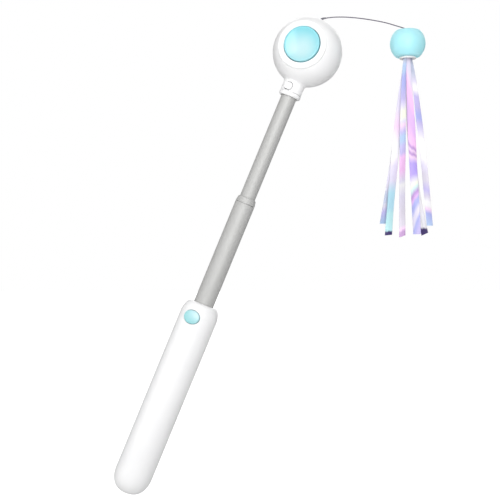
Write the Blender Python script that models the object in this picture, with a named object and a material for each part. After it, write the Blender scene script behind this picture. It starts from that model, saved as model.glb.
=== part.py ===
"""Telescopic cat teaser wand: two-shell handle, telescopic rod, motor head, wire and ribbon toy.

Lengths are in metres. The wand is modelled upright in its own frame, from the handle's butt (z = 0)
up to the head, with its front towards -Y. Two empties then hold it as a hand does: it leans to the
right, and its front turns a little to the left. The toy hangs straight down from the wire's end.
"""

import bpy
import bmesh
from math import asin, cos, degrees, pi, radians, sin, sqrt
from mathutils import Matrix, Vector

# How the wand is held
LEAN = radians(22.4)
SPIN = radians(-17.0)
GRIP_HEIGHT = 0.075

# Fits: seats between pieces that touch, and pieces that slide on each other
SEAT = 0.0003
RUNNING = 0.0003

# Smoothness of round pieces
LARGE_STEPS = 32
CAVITY_STEPS = 20
TUBE_STEPS = 24
SMALL_STEPS = 10

# Handle
HANDLE_LENGTH = 0.151
HANDLE_WIDTH = 0.0284
HANDLE_DEPTH = 0.0300
HANDLE_WALL = 0.0020
SHOULDER_HEIGHT = 0.0108
BUTT_HEIGHT = 0.0146
BUTT_FLAT_RADIUS = 0.0040
NOSE_LIP = 0.0012
NOSE_DEPTH = 0.0061
NOSE_TOP_WALL = 0.0018
BUSH_WALL = 0.0018
GUIDE_RIB_COUNT = 4
GUIDE_RIB_THICKNESS = 0.0014
GUIDE_RIB_PITCH = 0.0200

# Telescopic rod
OUTER_RADIUS = 0.00755
OUTER_WALL = 0.00050
OUTER_EXPOSED = 0.0810
OUTER_ENGAGED = 0.0400
INNER_RADIUS = 0.00590
INNER_WALL = 0.00055
INNER_EXPOSED = 0.0817
INNER_ENGAGED = 0.0200
COLLAR_HEIGHT = 0.0045
COLLAR_TAPER = 0.0005
FOOT_HEIGHT = 0.0065
FOOT_WALL = 0.00135
FOOT_LIP = 0.0010
PLUG_FOOT_HEIGHT = 0.0056
DRAG_RING_SECTION = 0.0014

# Rod lock: button, rocking lever, brake pad, pin and torsion spring
BUTTON_DROP = 0.0111
BUTTON_RADIUS = 0.0060
BUTTON_HALF_HEIGHT = 0.0051
BUTTON_PROUD = 0.0011
BUTTON_TRAVEL = 0.0010
LEVER_UPPER_ARM = 0.0100
LEVER_LOWER_ARM = 0.0080
LEVER_WIDTH = 0.0060
LEVER_WINDOW = 0.0030
PAD_HEIGHT = 0.0050
BUTTON_WING = 0.0004
PIN_RADIUS = 0.00070
EAR_THICKNESS = 0.0016
LOCK_SPRING_WIRE = 0.00022
# Shares of the room between the rod and the handle's front wall
PAD_SHARE = 0.272
LEVER_SHARE = 0.272
LEVER_BOSS_SHARE = 0.194

# Screws
SCREW_HEAD_RADIUS = 0.0018
SCREW_HEAD_HEIGHT = 0.0014
SCREW_SHANK_RADIUS = 0.0009
SCREW_LENGTH = 0.0150
BOSS_WALL = 0.0010
HANDLE_SCREW_SEAT = 0.0060
HEAD_SCREW_SEAT = 0.0100

# Head: ball, neck, collar and raised ring
BALL_RADIUS = 0.0260
BALL_WALL = 0.0020
NECK_REACH = 0.0363
NECK_RADIUS = 0.00815
NECK_FILLET = 0.0030
NECK_COLLAR_HEIGHT = 0.0032
NECK_COLLAR_WALL = 0.00095
SOCKET_DEPTH = 0.0165
SOCKET_FLOOR_WALL = 0.0013
BEZEL_RADIUS = 0.0184
BEZEL_HEIGHT = 0.0019
BEZEL_LIP = 0.0023
POLE_HOLE_RADIUS = 0.0030

# Head button and its switch
DISH_RADIUS = 0.0132
DISH_PROUD = 0.0010
DISH_DEPTH = 0.0014
DISH_WALL = 0.0016
DISH_FLANGE = 0.0006
HEAD_BUTTON_TRAVEL = 0.0008
SWITCH_WIDTH = 0.0060
SWITCH_HEIGHT = 0.0025
PLUNGER_RADIUS = 0.0014
BUTTON_SPRING_RADIUS = 0.0062
BUTTON_SPRING_WIRE = 0.0003
BUTTON_SPRING_TURNS = 3

# Inside the head
MOTOR_RADIUS = 0.0060
MOTOR_FLATS = 0.0100
MOTOR_LENGTH = 0.0150
GEARBOX_LENGTH = 0.0095
SHAFT_RADIUS = 0.0015
MOTOR_BOTTOM = -0.0060
CHASSIS_WALL = 0.0021
CHASSIS_TOP_WALL = 0.0015
CHASSIS_BACK_WALL = 0.0016
BOARD_THICKNESS = 0.0010
BOARD_RADIUS = 0.0163
POST_WIDTH = 0.0020
CELL_WIDTH = 0.0220
CELL_HEIGHT = 0.0200
CELL_THICKNESS = 0.0060
CELL_BOTTOM = -0.0040
SCREW_ACROSS = 0.0165
SCREW_UP = 0.0105
EYE_THICKNESS = 0.0018
PORT_WIDTH = 0.0089
PORT_HEIGHT = 0.0032
PORT_DEPTH = 0.0074
PORT_RECESS = 0.0006
PORT_LEVEL = -0.0105

# Snap latch between the head's neck and the rod
SNAP_RISE = 0.0067
SNAP_TURN = radians(-10.0)
SNAP_WIDTH = 0.0060
SNAP_HEIGHT = 0.0050
SNAP_CORNER = 0.0016
SNAP_PROUD = 0.0008
SNAP_FLANGE = 0.0008
SNAP_SPRING_THICKNESS = 0.0004
SNAP_SPRING_LENGTH = 0.0150

# Drive hub, wire and its route: (across, up) from the ball's pole, in the plane of the lean
HUB_RADIUS = 0.0027
WIRE_RADIUS = 0.00038
SLEEVE_WALL = 0.00035
SLEEVE_LENGTH = 0.0046
WIRE_END_BALL_RADIUS = 0.0017
WIRE_ROUTE = [
    (0.0025, 0.0013), (0.0061, 0.0019), (0.0121, 0.0024), (0.0201, 0.0023), (0.0301, 0.0014),
    (0.0401, -0.0001), (0.0486, -0.0018), (0.0556, -0.0038), (0.0606, -0.0053), (0.0635, -0.0064),
]
TOY_ACROSS = 0.0651
TOY_PIVOT_DROP = 0.0108

# Toy: swivel, bead, plug and ribbons
SWIVEL_WALL = 0.0007
SWIVEL_STEM_RADIUS = 0.0012
SWIVEL_HEAD_RADIUS = 0.0023
BEAD_RADIUS = 0.0132
BEAD_WALL = 0.0016
BEAD_TOP = 0.0099
BEAD_BOTTOM = 0.0099
BEAD_WEB = 0.0025
PIVOT_BELOW_TOP = 0.0032
PLUG_RADIUS = 0.0056
PLUG_FLANGE = 0.0007
PLUG_FLANGE_HEIGHT = 0.0012
PLUG_DEPTH = 0.0036
RIBBON_THICKNESS = 0.00030
RIBBON_PITCH = 0.00110
RIBBON_STEPS = 14
HELD_SHARE = 0.04
EVEN_FLARE = 0.35
# Each ribbon from front to back: its end's place across, forward and below the toy's pivot, its width
RIBBONS = [
    (-0.0044, -0.0100, 0.1510, 0.0056),
    (0.0066, -0.0060, 0.1487, 0.0060),
    (-0.0185, -0.0025, 0.1412, 0.0058),
    (0.0169, 0.0025, 0.1427, 0.0056),
    (-0.0147, 0.0065, 0.1487, 0.0062),
    (0.0129, 0.0105, 0.1467, 0.0054),
]
RIBBON_TWISTS = [radians(14), radians(-20), radians(16), radians(-18), radians(22), radians(-16)]

# Worked out from the sizes above, along the wand from the butt
OUTER_TOP = HANDLE_LENGTH + OUTER_EXPOSED
OUTER_BOTTOM = HANDLE_LENGTH - OUTER_ENGAGED
COLLAR_TOP = OUTER_TOP + COLLAR_HEIGHT
BALL_HEIGHT = COLLAR_TOP + INNER_EXPOSED + NECK_REACH
SNAP_DROP = NECK_REACH - SNAP_RISE
SOCKET_FLOOR = NECK_REACH - SOCKET_DEPTH
INNER_BOTTOM = OUTER_TOP - INNER_ENGAGED
BUTTON_HEIGHT = HANDLE_LENGTH - BUTTON_DROP
PIVOT_HEIGHT = BUTTON_HEIGHT - LEVER_UPPER_ARM
SCREW_HOLE_RADIUS = SCREW_SHANK_RADIUS + SEAT
NOSE_RADIUS = OUTER_RADIUS + RUNNING + NOSE_LIP
BEZEL_SEAT = sqrt(BALL_RADIUS ** 2 - (BEZEL_RADIUS + SEAT) ** 2)

# Colours, from the photograph
MATERIALS = {
    "white_abs": ((0.86, 0.86, 0.87), 0.38, 0.0),
    "turquoise_abs": ((0.32, 0.80, 0.86), 0.35, 0.0),
    "grey_tube": ((0.56, 0.56, 0.56), 0.32, 0.6),
    "white_pom": ((0.78, 0.78, 0.76), 0.45, 0.0),
    "black_rubber": ((0.03, 0.03, 0.035), 0.7, 0.0),
    "spring_steel": ((0.18, 0.17, 0.20), 0.3, 0.9),
    "plated_steel": ((0.62, 0.62, 0.63), 0.25, 1.0),
    "board_green": ((0.03, 0.22, 0.10), 0.5, 0.0),
    "cell_wrap": ((0.10, 0.22, 0.55), 0.4, 0.0),
    "iridescent_film": ((0.72, 0.70, 0.88), 0.15, 0.4),
}

for old in list(bpy.data.objects):
    bpy.data.objects.remove(old, do_unlink=True)


def material(name):
    """A plain shader in the piece's own colour, roughness and metallic value."""
    if name in bpy.data.materials:
        return bpy.data.materials[name]
    colour, roughness, metallic = MATERIALS[name]
    made = bpy.data.materials.new(name)
    made.use_nodes = True
    shader = made.node_tree.nodes["Principled BSDF"]
    shader.inputs["Base Color"].default_value = (*colour, 1.0)
    shader.inputs["Roughness"].default_value = roughness
    shader.inputs["Metallic"].default_value = metallic
    return made


def empty(name, parent=None, matrix=Matrix.Identity(4)):
    """An empty that carries pieces in its own frame."""
    made = bpy.data.objects.new(name, None)
    bpy.context.collection.objects.link(made)
    made.parent = parent
    made.matrix_local = matrix
    return made


def arc(across, up, radius, start, end, count):
    """Points on an arc in a profile's plane, with its angles in degrees."""
    turns = [radians(start + (end - start) * i / count) for i in range(count + 1)]
    return [(across + radius * cos(t), up + radius * sin(t)) for t in turns]


def turned(profile, steps=TUBE_STEPS, along="UP", centre=(0, 0, 0)):
    """A turned solid from (radius, height) points; along is where the height runs."""
    bm = bmesh.new()
    points = [bm.verts.new((radius, 0, height)) for radius, height in profile]
    edges = [bm.edges.new(pair) for pair in zip(points, points[1:])]
    if profile[0][0] > 0 or profile[-1][0] > 0:
        edges.append(bm.edges.new((points[-1], points[0])))
    bmesh.ops.spin(bm, geom=points + edges, cent=(0, 0, 0), axis=(0, 0, 1), angle=2 * pi, steps=steps)
    bmesh.ops.remove_doubles(bm, verts=bm.verts, dist=1e-7)
    bmesh.ops.recalc_face_normals(bm, faces=bm.faces)
    if along != "UP":
        quarter = Matrix.Rotation(pi / 2, 4, "X" if along == "FRONT" else "Y")
        bmesh.ops.transform(bm, matrix=quarter, verts=bm.verts)
    bmesh.ops.translate(bm, vec=centre, verts=bm.verts)
    return bm


def disc(radius, low, high, steps=TUBE_STEPS, along="UP", centre=(0, 0, 0)):
    """A plain cylinder between two heights."""
    return turned([(0, low), (radius, low), (radius, high), (0, high)], steps, along, centre)


def ring(inner, outer, low, high, steps=TUBE_STEPS, along="UP", centre=(0, 0, 0)):
    """A plain tube between two heights."""
    return turned([(inner, low), (outer, low), (outer, high), (inner, high)], steps, along, centre)


def block(x, y, z):
    """A box from its low and high values on each axis."""
    bm = bmesh.new()
    bmesh.ops.create_cube(bm, size=1)
    spans = (x, y, z)
    size = [high - low for low, high in spans]
    middle = [(high + low) / 2 for low, high in spans]
    bmesh.ops.transform(bm, matrix=Matrix.Translation(middle) @ Matrix.Diagonal((*size, 1)), verts=bm.verts)
    return bm


def lofted(rings):
    """A solid through rings of points, closed by a flat cap at each end."""
    bm = bmesh.new()
    loops = [[bm.verts.new(point) for point in points] for points in rings]
    for low, high in zip(loops, loops[1:]):
        for i in range(len(low)):
            j = (i + 1) % len(low)
            bm.faces.new((low[i], low[j], high[j], high[i]))
    bm.faces.new(list(reversed(loops[0])))
    bm.faces.new(loops[-1])
    bmesh.ops.recalc_face_normals(bm, faces=bm.faces)
    return bm


def swept(points, section):
    """A section of (side, normal) offsets carried along a route without twisting."""
    route = [Vector(point) for point in points]
    heading = (route[1] - route[0]).normalized()
    side = heading.orthogonal().normalized()
    rings = []
    for i, point in enumerate(route):
        ahead = (route[min(i + 1, len(route) - 1)] - route[max(i - 1, 0)]).normalized()
        side = heading.rotation_difference(ahead) @ side
        heading = ahead
        normal = heading.cross(side)
        rings.append([point + side * a + normal * b for a, b in section])
    bm = lofted(rings)
    bmesh.ops.triangulate(bm, faces=bm.faces)
    return bm


def round_section(radius, sides):
    """A round wire's section."""
    return arc(0, 0, radius, 0, 360 * (sides - 1) / sides, sides - 1)


def strip(points, thickness, low, high):
    """A leaf bent along (y, z) points and as wide as from low to high across."""
    route = [Vector((0, y, z)) for y, z in points]
    left, right = [], []
    for i, point in enumerate(route):
        ahead = (route[min(i + 1, len(route) - 1)] - route[max(i - 1, 0)]).normalized()
        normal = Vector((1, 0, 0)).cross(ahead) * thickness / 2
        left.append(point + normal)
        right.append(point - normal)
    rings = []
    for a, b in zip(left, right):
        rings.append([(low, a.y, a.z), (high, a.y, a.z), (high, b.y, b.z), (low, b.y, b.z)])
    return lofted(rings)


def rounded_box(width, height, corner, low, high):
    """A pad with rounded corners that stands along -Y from low to high."""
    outline = []
    for x, z, start in ((1, 1, 0), (-1, 1, 90), (-1, -1, 180), (1, -1, 270)):
        outline += arc(x * (width / 2 - corner), z * (height / 2 - corner), corner, start, start + 90, 3)
    return lofted([[(x, -reach, z) for x, z in outline] for reach in (low, high)])


def body(bm):
    """A working object for a solid, before it gets its name and place."""
    mesh = bpy.data.meshes.new("work")
    bm.to_mesh(mesh)
    bm.free()
    made = bpy.data.objects.new("work", mesh)
    bpy.context.collection.objects.link(made)
    return made


def shape(piece, operation, bm):
    """Unite, cut or clip a working object with a tool, and keep the result as its mesh."""
    tool = body(bm)
    tool.hide_render = True
    tool.display_type = "WIRE"
    step = piece.modifiers.new(operation, "BOOLEAN")
    step.operation = operation
    step.solver = "MANIFOLD"
    step.object = tool
    bpy.context.view_layer.update()
    seen = piece.evaluated_get(bpy.context.evaluated_depsgraph_get())
    mesh = bpy.data.meshes.new_from_object(seen)
    piece.modifiers.clear()
    piece.data = mesh
    bpy.data.objects.remove(tool, do_unlink=True)
    return piece


def unite(piece, *tools):
    for bm in tools:
        shape(piece, "UNION", bm)
    return piece


def cut(piece, *tools):
    for bm in tools:
        shape(piece, "DIFFERENCE", bm)
    return piece


def clip(piece, bm):
    return shape(piece, "INTERSECT", bm)


def clipped(bm, within):
    """A tool that is kept only where it lies within another solid."""
    piece = clip(body(bm), within)
    kept = bmesh.new()
    kept.from_mesh(piece.data)
    bpy.data.objects.remove(piece, do_unlink=True)
    return kept


def place(piece, name, finish, parent, origin=(0, 0, 0)):
    """Name a finished solid, give it its material, and put its origin where it turns or slides."""
    mesh = piece.data
    mesh.transform(Matrix.Translation(-Vector(origin)))
    mesh.materials.clear()
    mesh.materials.append(material(finish))
    mesh.shade_smooth()
    mesh.set_sharp_from_angle(angle=radians(32))
    mesh.name = name
    piece.name = name
    piece.parent = parent
    piece.location = origin
    return piece


def solid(bm, name, finish, parent, origin=(0, 0, 0)):
    return place(body(bm), name, finish, parent, origin)


# Frames: the wand's own, the ball's in it, and the one at the ball's pole that doesn't lean
turn = Matrix.Rotation(LEAN, 4, "Y") @ Matrix.Rotation(SPIN, 4, "Z")
wand = empty("wand", None, turn @ Matrix.Translation((0, 0, -GRIP_HEIGHT)))
head = empty("head", wand, Matrix.Translation((0, 0, BALL_HEIGHT)))
up = turn @ Vector((0, 0, 1))
level = empty("level", None, Matrix.Translation(up * (BALL_HEIGHT - GRIP_HEIGHT + BALL_RADIUS)))
toy = empty("toy", level, Matrix.Translation((TOY_ACROSS, 0, -TOY_PIVOT_DROP)))


# Handle shells: a rounded tube body with an elliptical section, a shoulder and a domed butt
def handle_form(inset, top, steps=CAVITY_STEPS):
    """The handle's outside, or its cavity when inset by the wall."""
    half_x = HANDLE_WIDTH / 2 - inset
    half_y = HANDLE_DEPTH / 2 - inset
    shoulder = HANDLE_LENGTH - SHOULDER_HEIGHT
    flat = BUTT_FLAT_RADIUS - min(inset, BUTT_FLAT_RADIUS / 2)
    nose = NOSE_RADIUS - inset
    rings = []
    for i in range(6):
        t = pi / 2 * i / 6
        rise = (BUTT_HEIGHT - inset) * sin(t)
        z = BUTT_HEIGHT - (BUTT_HEIGHT - inset) * cos(t)
        share = rise / (BUTT_HEIGHT - inset)
        rings.append((flat + (half_x - flat) * share, flat + (half_y - flat) * share, z))
    rings.append((half_x, half_y, BUTT_HEIGHT))
    for i in range(6):
        t = pi / 2 * i / 6
        z = shoulder + SHOULDER_HEIGHT * sin(t)
        if z < top - SEAT:
            rings.append((nose + (half_x - nose) * cos(t), nose + (half_y - nose) * cos(t), z))
    share = sqrt(max(0.0, 1 - ((top - shoulder) / SHOULDER_HEIGHT) ** 2))
    rings.append((nose + (half_x - nose) * share, nose + (half_y - nose) * share, top))
    turns = [2 * pi * (i + 0.5) / steps for i in range(steps)]
    return lofted([[(a * cos(t), b * sin(t), z) for t in turns] for a, b, z in rings])


def cavity_front(x, z):
    """How far in front of the rod the shoulder's cavity reaches at a point across and up."""
    share = sqrt(1 - ((z - HANDLE_LENGTH + SHOULDER_HEIGHT) / SHOULDER_HEIGHT) ** 2)
    nose = NOSE_RADIUS - HANDLE_WALL
    half_x = nose + (HANDLE_WIDTH / 2 - HANDLE_WALL - nose) * share
    half_y = nose + (HANDLE_DEPTH / 2 - HANDLE_WALL - nose) * share
    return half_y * sqrt(1 - (x / half_x) ** 2) * cos(pi / CAVITY_STEPS)


def handle_wall_middle():
    """A form halfway through the wall, so that ribs and bosses end inside it."""
    return handle_form(HANDLE_WALL / 2, HANDLE_LENGTH - NOSE_DEPTH + HANDLE_WALL)


bush_bore = OUTER_RADIUS + RUNNING
bush_outer = bush_bore + BUSH_WALL
foot_outer = OUTER_RADIUS + SEAT + FOOT_WALL
channel = foot_outer + RUNNING
front_depth = HANDLE_DEPTH / 2
boss_radius = SCREW_HOLE_RADIUS + BOSS_WALL
counterbore = SCREW_HEAD_RADIUS + SEAT
side_screw_x = OUTER_RADIUS + RUNNING + boss_radius + SEAT
butt_screw_z = BUTT_HEIGHT + boss_radius
HANDLE_SCREWS = [(side_screw_x, PIVOT_HEIGHT), (-side_screw_x, PIVOT_HEIGHT), (0.0, butt_screw_z)]
screw_tip = HANDLE_SCREW_SEAT - SCREW_LENGTH

shells = []
for side in (-1, 1):
    shell = body(handle_form(0, HANDLE_LENGTH, LARGE_STEPS))
    cut(shell, handle_form(HANDLE_WALL, HANDLE_LENGTH - NOSE_DEPTH))
    for i in range(GUIDE_RIB_COUNT):
        rib_top = OUTER_BOTTOM - FOOT_LIP - SEAT - GUIDE_RIB_PITCH * i
        rib = block((-HANDLE_WIDTH, HANDLE_WIDTH), (-HANDLE_DEPTH, HANDLE_DEPTH),
                    (rib_top - GUIDE_RIB_THICKNESS, rib_top))
        unite(shell, clipped(rib, handle_wall_middle()))
    cut(shell, disc(channel, butt_screw_z + boss_radius + RUNNING, HANDLE_LENGTH - NOSE_DEPTH))
    cut(shell, disc(NOSE_RADIUS - NOSE_LIP, HANDLE_LENGTH - NOSE_DEPTH - SEAT, HANDLE_LENGTH + SEAT))
    cut(shell, disc(bush_outer + SEAT, HANDLE_LENGTH - NOSE_DEPTH - SEAT, HANDLE_LENGTH - NOSE_TOP_WALL))
    for x, z in HANDLE_SCREWS:
        unite(shell, clipped(disc(boss_radius, -HANDLE_DEPTH, HANDLE_DEPTH, SMALL_STEPS, "FRONT", (x, 0, z)),
                             handle_wall_middle()))
        if side > 0:
            wide = disc(counterbore + BOSS_WALL, -HANDLE_DEPTH, -HANDLE_SCREW_SEAT + BOSS_WALL,
                        SMALL_STEPS, "FRONT", (x, 0, z))
            unite(shell, clipped(wide, handle_wall_middle()))
            cut(shell, disc(counterbore, -HANDLE_DEPTH, -HANDLE_SCREW_SEAT, SMALL_STEPS, "FRONT", (x, 0, z)))
        cut(shell, disc(SCREW_HOLE_RADIUS, -HANDLE_SCREW_SEAT - SEAT, -screw_tip + SEAT,
                        SMALL_STEPS, "FRONT", (x, 0, z)))
    half = (SEAT / 2, HANDLE_DEPTH) if side > 0 else (-HANDLE_DEPTH, -SEAT / 2)
    clip(shell, block((-HANDLE_WIDTH, HANDLE_WIDTH), half, (-HANDLE_WALL, HANDLE_LENGTH + HANDLE_WALL)))
    shells.append(shell)
front_shell, rear_shell = shells

# The front shell also has the button's hole and two ears for the lever's pin
lock_room = front_depth - HANDLE_WALL - OUTER_RADIUS - SEAT
lever_back = OUTER_RADIUS + SEAT + lock_room * PAD_SHARE + SEAT
lever_front = lever_back + lock_room * LEVER_SHARE
pin_depth = (lever_back + lever_front) / 2
ear_inner = LEVER_WIDTH / 2 + SEAT
ear_outer = ear_inner + EAR_THICKNESS
ear_half = PIN_RADIUS + SEAT + lock_room * LEVER_BOSS_SHARE


def button_oval(mesh, clearance=0):
    """A round mesh drawn down to the release button's oval, and set at the button's height."""
    share = (BUTTON_HALF_HEIGHT + clearance) / (BUTTON_RADIUS + clearance)
    move = Matrix.Translation((0, 0, BUTTON_HEIGHT)) @ Matrix.Diagonal((1, 1, share, 1))
    bmesh.ops.transform(mesh, matrix=move, verts=mesh.verts)
    return mesh


for side in (-1, 1):
    low, high = sorted((side * ear_inner, side * ear_outer))
    ear = block((low, high), (-front_depth, -pin_depth + ear_half),
                (PIVOT_HEIGHT - ear_half, PIVOT_HEIGHT + ear_half))
    unite(front_shell, clipped(ear, handle_wall_middle()))
cut(front_shell, button_oval(disc(BUTTON_RADIUS + RUNNING, lever_front, HANDLE_DEPTH, TUBE_STEPS, "FRONT"),
                             RUNNING))
cut(front_shell, disc(PIN_RADIUS + SEAT, -ear_outer - SEAT, ear_outer + SEAT, SMALL_STEPS, "RIGHT",
                      (0, -pin_depth, PIVOT_HEIGHT)))
place(front_shell, "handle_front_shell", "white_abs", wand)
place(rear_shell, "handle_rear_shell", "white_abs", wand)

# Guide bush in the handle's nose
solid(ring(bush_bore, bush_outer, HANDLE_LENGTH - NOSE_DEPTH, HANDLE_LENGTH - NOSE_TOP_WALL - SEAT),
      "rod_guide_bush", "white_pom", wand)


# Self-tapping screws with a cross recess
def screw_mesh(length):
    """One screw along -Y from under its head at y = 0."""
    neck = SCREW_SHANK_RADIUS * 0.6
    piece = body(turned([
        (0, length), (neck, length), (SCREW_SHANK_RADIUS, length - 2 * neck), (SCREW_SHANK_RADIUS, 0),
        (SCREW_HEAD_RADIUS, 0), (SCREW_HEAD_RADIUS, -SCREW_HEAD_HEIGHT * 0.6),
        (SCREW_HEAD_RADIUS * 0.8, -SCREW_HEAD_HEIGHT), (0, -SCREW_HEAD_HEIGHT),
    ], SMALL_STEPS, "FRONT"))
    arm = SCREW_HEAD_RADIUS * 0.6
    blade = SCREW_HEAD_RADIUS * 0.15
    recess = (SCREW_HEAD_HEIGHT * 0.4, SCREW_HEAD_HEIGHT * 2)
    cross = body(block((-arm, arm), recess, (-blade, blade)))
    unite(cross, block((-blade, blade), recess, (-arm, arm)))
    tool = bmesh.new()
    tool.from_mesh(cross.data)
    bpy.data.objects.remove(cross, do_unlink=True)
    return cut(piece, tool)


def screws(name, finish, parent, places, seat):
    """A set of like screws that share one mesh."""
    first = screw_mesh(SCREW_LENGTH)
    place(first, name + "_1", finish, parent)
    for i, (x, z) in enumerate(places):
        piece = first
        if i:
            piece = first.copy()
            piece.name = f"{name}_{i + 1}"
            bpy.context.collection.objects.link(piece)
        piece.location = (x, seat + SEAT, z)


screws("handle_screw", "plated_steel", wand, HANDLE_SCREWS, HANDLE_SCREW_SEAT)

# Release button: a domed cap with a channel for the lever and two wings that keep it in the shell
button_rim = front_depth * sqrt(1 - (BUTTON_RADIUS / (HANDLE_WIDTH / 2)) ** 2) + BUTTON_PROUD
dome_rise = BUTTON_PROUD
dome_edge = BUTTON_RADIUS * 0.12
wing_half = BUTTON_DROP - NOSE_DEPTH - SEAT
wing_out = BUTTON_RADIUS * 0.9
wing_front = cavity_front(wing_out, BUTTON_HEIGHT + wing_half) - SEAT
skirt_back = wing_front - BUTTON_WING
cap = [(0, skirt_back), (BUTTON_RADIUS, skirt_back), (BUTTON_RADIUS, button_rim)]
cap += arc(BUTTON_RADIUS - dome_edge, button_rim, dome_edge, 30, 90, 2)
dome_span = BUTTON_RADIUS - dome_edge
cap += [(dome_span * cos(radians(a)), button_rim + dome_edge + dome_rise * sin(radians(a)))
        for a in (25, 50, 75)]
cap.append((0, button_rim + dome_edge + dome_rise))
button = body(button_oval(turned(cap, TUBE_STEPS, "FRONT")))
slot_half = LEVER_WIDTH / 2 + RUNNING
unite(button, block((-wing_out, wing_out), (-wing_front, -skirt_back),
                    (BUTTON_HEIGHT - wing_half, BUTTON_HEIGHT + wing_half)))
nub_height = BUTTON_TRAVEL * 0.8
cut(button, block((-slot_half, slot_half), (-lever_front - SEAT - nub_height, 0),
                  (BUTTON_HEIGHT - 2 * wing_half, BUTTON_HEIGHT + 2 * wing_half)))
unite(button, disc(BUTTON_RADIUS * 0.25, lever_front + SEAT, button_rim, SMALL_STEPS, "FRONT",
                   (0, 0, BUTTON_HEIGHT)))
place(button, "release_button", "turquoise_abs", wand, (0, -button_rim, BUTTON_HEIGHT))

# Lock lever: a rocker on a pin, with a window for the torsion spring, and a brake pad at its foot
lever_top = BUTTON_HEIGHT + BUTTON_RADIUS / 2
lever_foot = PIVOT_HEIGHT - LEVER_LOWER_ARM - PAD_HEIGHT / 2
pivot = (0, -pin_depth, PIVOT_HEIGHT)
lever_half = LEVER_WIDTH / 2
lever = body(block((-lever_half, lever_half), (-lever_front, -lever_back), (lever_foot, lever_top)))
unite(lever, disc(ear_half, -lever_half, lever_half, SMALL_STEPS, "RIGHT", pivot))
window_half = LEVER_WINDOW / 2
cut(lever, block((-window_half, window_half), (-front_depth, 0),
                 (PIVOT_HEIGHT - 2 * ear_half, PIVOT_HEIGHT + 1.3 * ear_half)))
cut(lever, disc(PIN_RADIUS + SEAT, -LEVER_WIDTH, LEVER_WIDTH, SMALL_STEPS, "RIGHT", pivot))
place(lever, "lock_lever", "white_pom", wand, pivot)
solid(block((-lever_half, lever_half), (-lever_back + SEAT, -OUTER_RADIUS - SEAT),
            (lever_foot, lever_foot + PAD_HEIGHT)), "brake_pad", "black_rubber", wand, pivot)
solid(disc(PIN_RADIUS, -ear_outer, ear_outer, SMALL_STEPS, "RIGHT", pivot), "lever_pin", "plated_steel",
      wand, pivot)

# Torsion spring on the pin: one leg under the lever's upper arm, the other against the front wall
coil_radius = PIN_RADIUS + SEAT + LOCK_SPRING_WIRE
coil_half = window_half - LOCK_SPRING_WIRE - SEAT
coil_turns = 3
spring = []
upper_leg = coil_radius * 2.2
for i in range(coil_turns * 10 + 1):
    share = i / (coil_turns * 10)
    t = share * coil_turns * 2 * pi
    spring.append((-coil_half + 2 * coil_half * share, -pin_depth + coil_radius * cos(t),
                   PIVOT_HEIGHT + coil_radius * sin(t)))
spring.insert(0, (-coil_half, -pin_depth + coil_radius, PIVOT_HEIGHT - upper_leg))
spring.append((coil_half, -pin_depth + coil_radius, PIVOT_HEIGHT + upper_leg))
solid(swept(spring, round_section(LOCK_SPRING_WIRE, 5)), "lever_spring", "plated_steel", wand, pivot)

# Outer tube with its collar at the top and its sliding foot at the bottom
outer_bore = OUTER_RADIUS - OUTER_WALL
solid(ring(outer_bore, OUTER_RADIUS, OUTER_BOTTOM, OUTER_TOP - SEAT), "outer_tube", "grey_tube", wand)
collar_bore = INNER_RADIUS + RUNNING
spigot = outer_bore - SEAT
solid(turned([
    (collar_bore, INNER_BOTTOM), (spigot, INNER_BOTTOM), (spigot, OUTER_TOP), (OUTER_RADIUS, OUTER_TOP),
    (OUTER_RADIUS, OUTER_TOP + COLLAR_HEIGHT * 0.15),
    (OUTER_RADIUS - COLLAR_TAPER, COLLAR_TOP - COLLAR_TAPER),
    (OUTER_RADIUS - 2 * COLLAR_TAPER, COLLAR_TOP), (collar_bore, COLLAR_TOP),
], TUBE_STEPS), "outer_tube_collar", "grey_tube", wand)
foot_bore = OUTER_RADIUS + SEAT
foot_low = OUTER_BOTTOM - SEAT - FOOT_LIP
solid(turned([
    (outer_bore, foot_low), (foot_outer, foot_low), (foot_outer, OUTER_BOTTOM + FOOT_HEIGHT),
    (foot_bore, OUTER_BOTTOM + FOOT_HEIGHT), (foot_bore, OUTER_BOTTOM - SEAT),
    (outer_bore, OUTER_BOTTOM - SEAT),
], TUBE_STEPS), "outer_tube_foot", "white_pom", wand)

# Inner tube with its foot, drag ring and top plug
snap_height = BALL_HEIGHT - SNAP_DROP
inner_top = BALL_HEIGHT - SOCKET_FLOOR - SEAT - 2 * INNER_WALL
inner_bore = INNER_RADIUS - INNER_WALL
inner = body(ring(inner_bore, INNER_RADIUS, INNER_BOTTOM, inner_top))
snap_turn = Matrix.Rotation(SNAP_TURN, 4, "Z")


def latch(bm, height):
    """Turn a latch piece from the front to the latch's side, and lift it."""
    bmesh.ops.transform(bm, matrix=Matrix.Translation((0, 0, height)) @ snap_turn, verts=bm.verts)
    return bm


def latch_hole():
    """The hole that the latch pad slides through, in the tube or the neck."""
    return rounded_box(SNAP_WIDTH + 2 * RUNNING, SNAP_HEIGHT + 2 * RUNNING, SNAP_CORNER + RUNNING,
                       INNER_RADIUS / 2, BALL_RADIUS)


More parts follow.
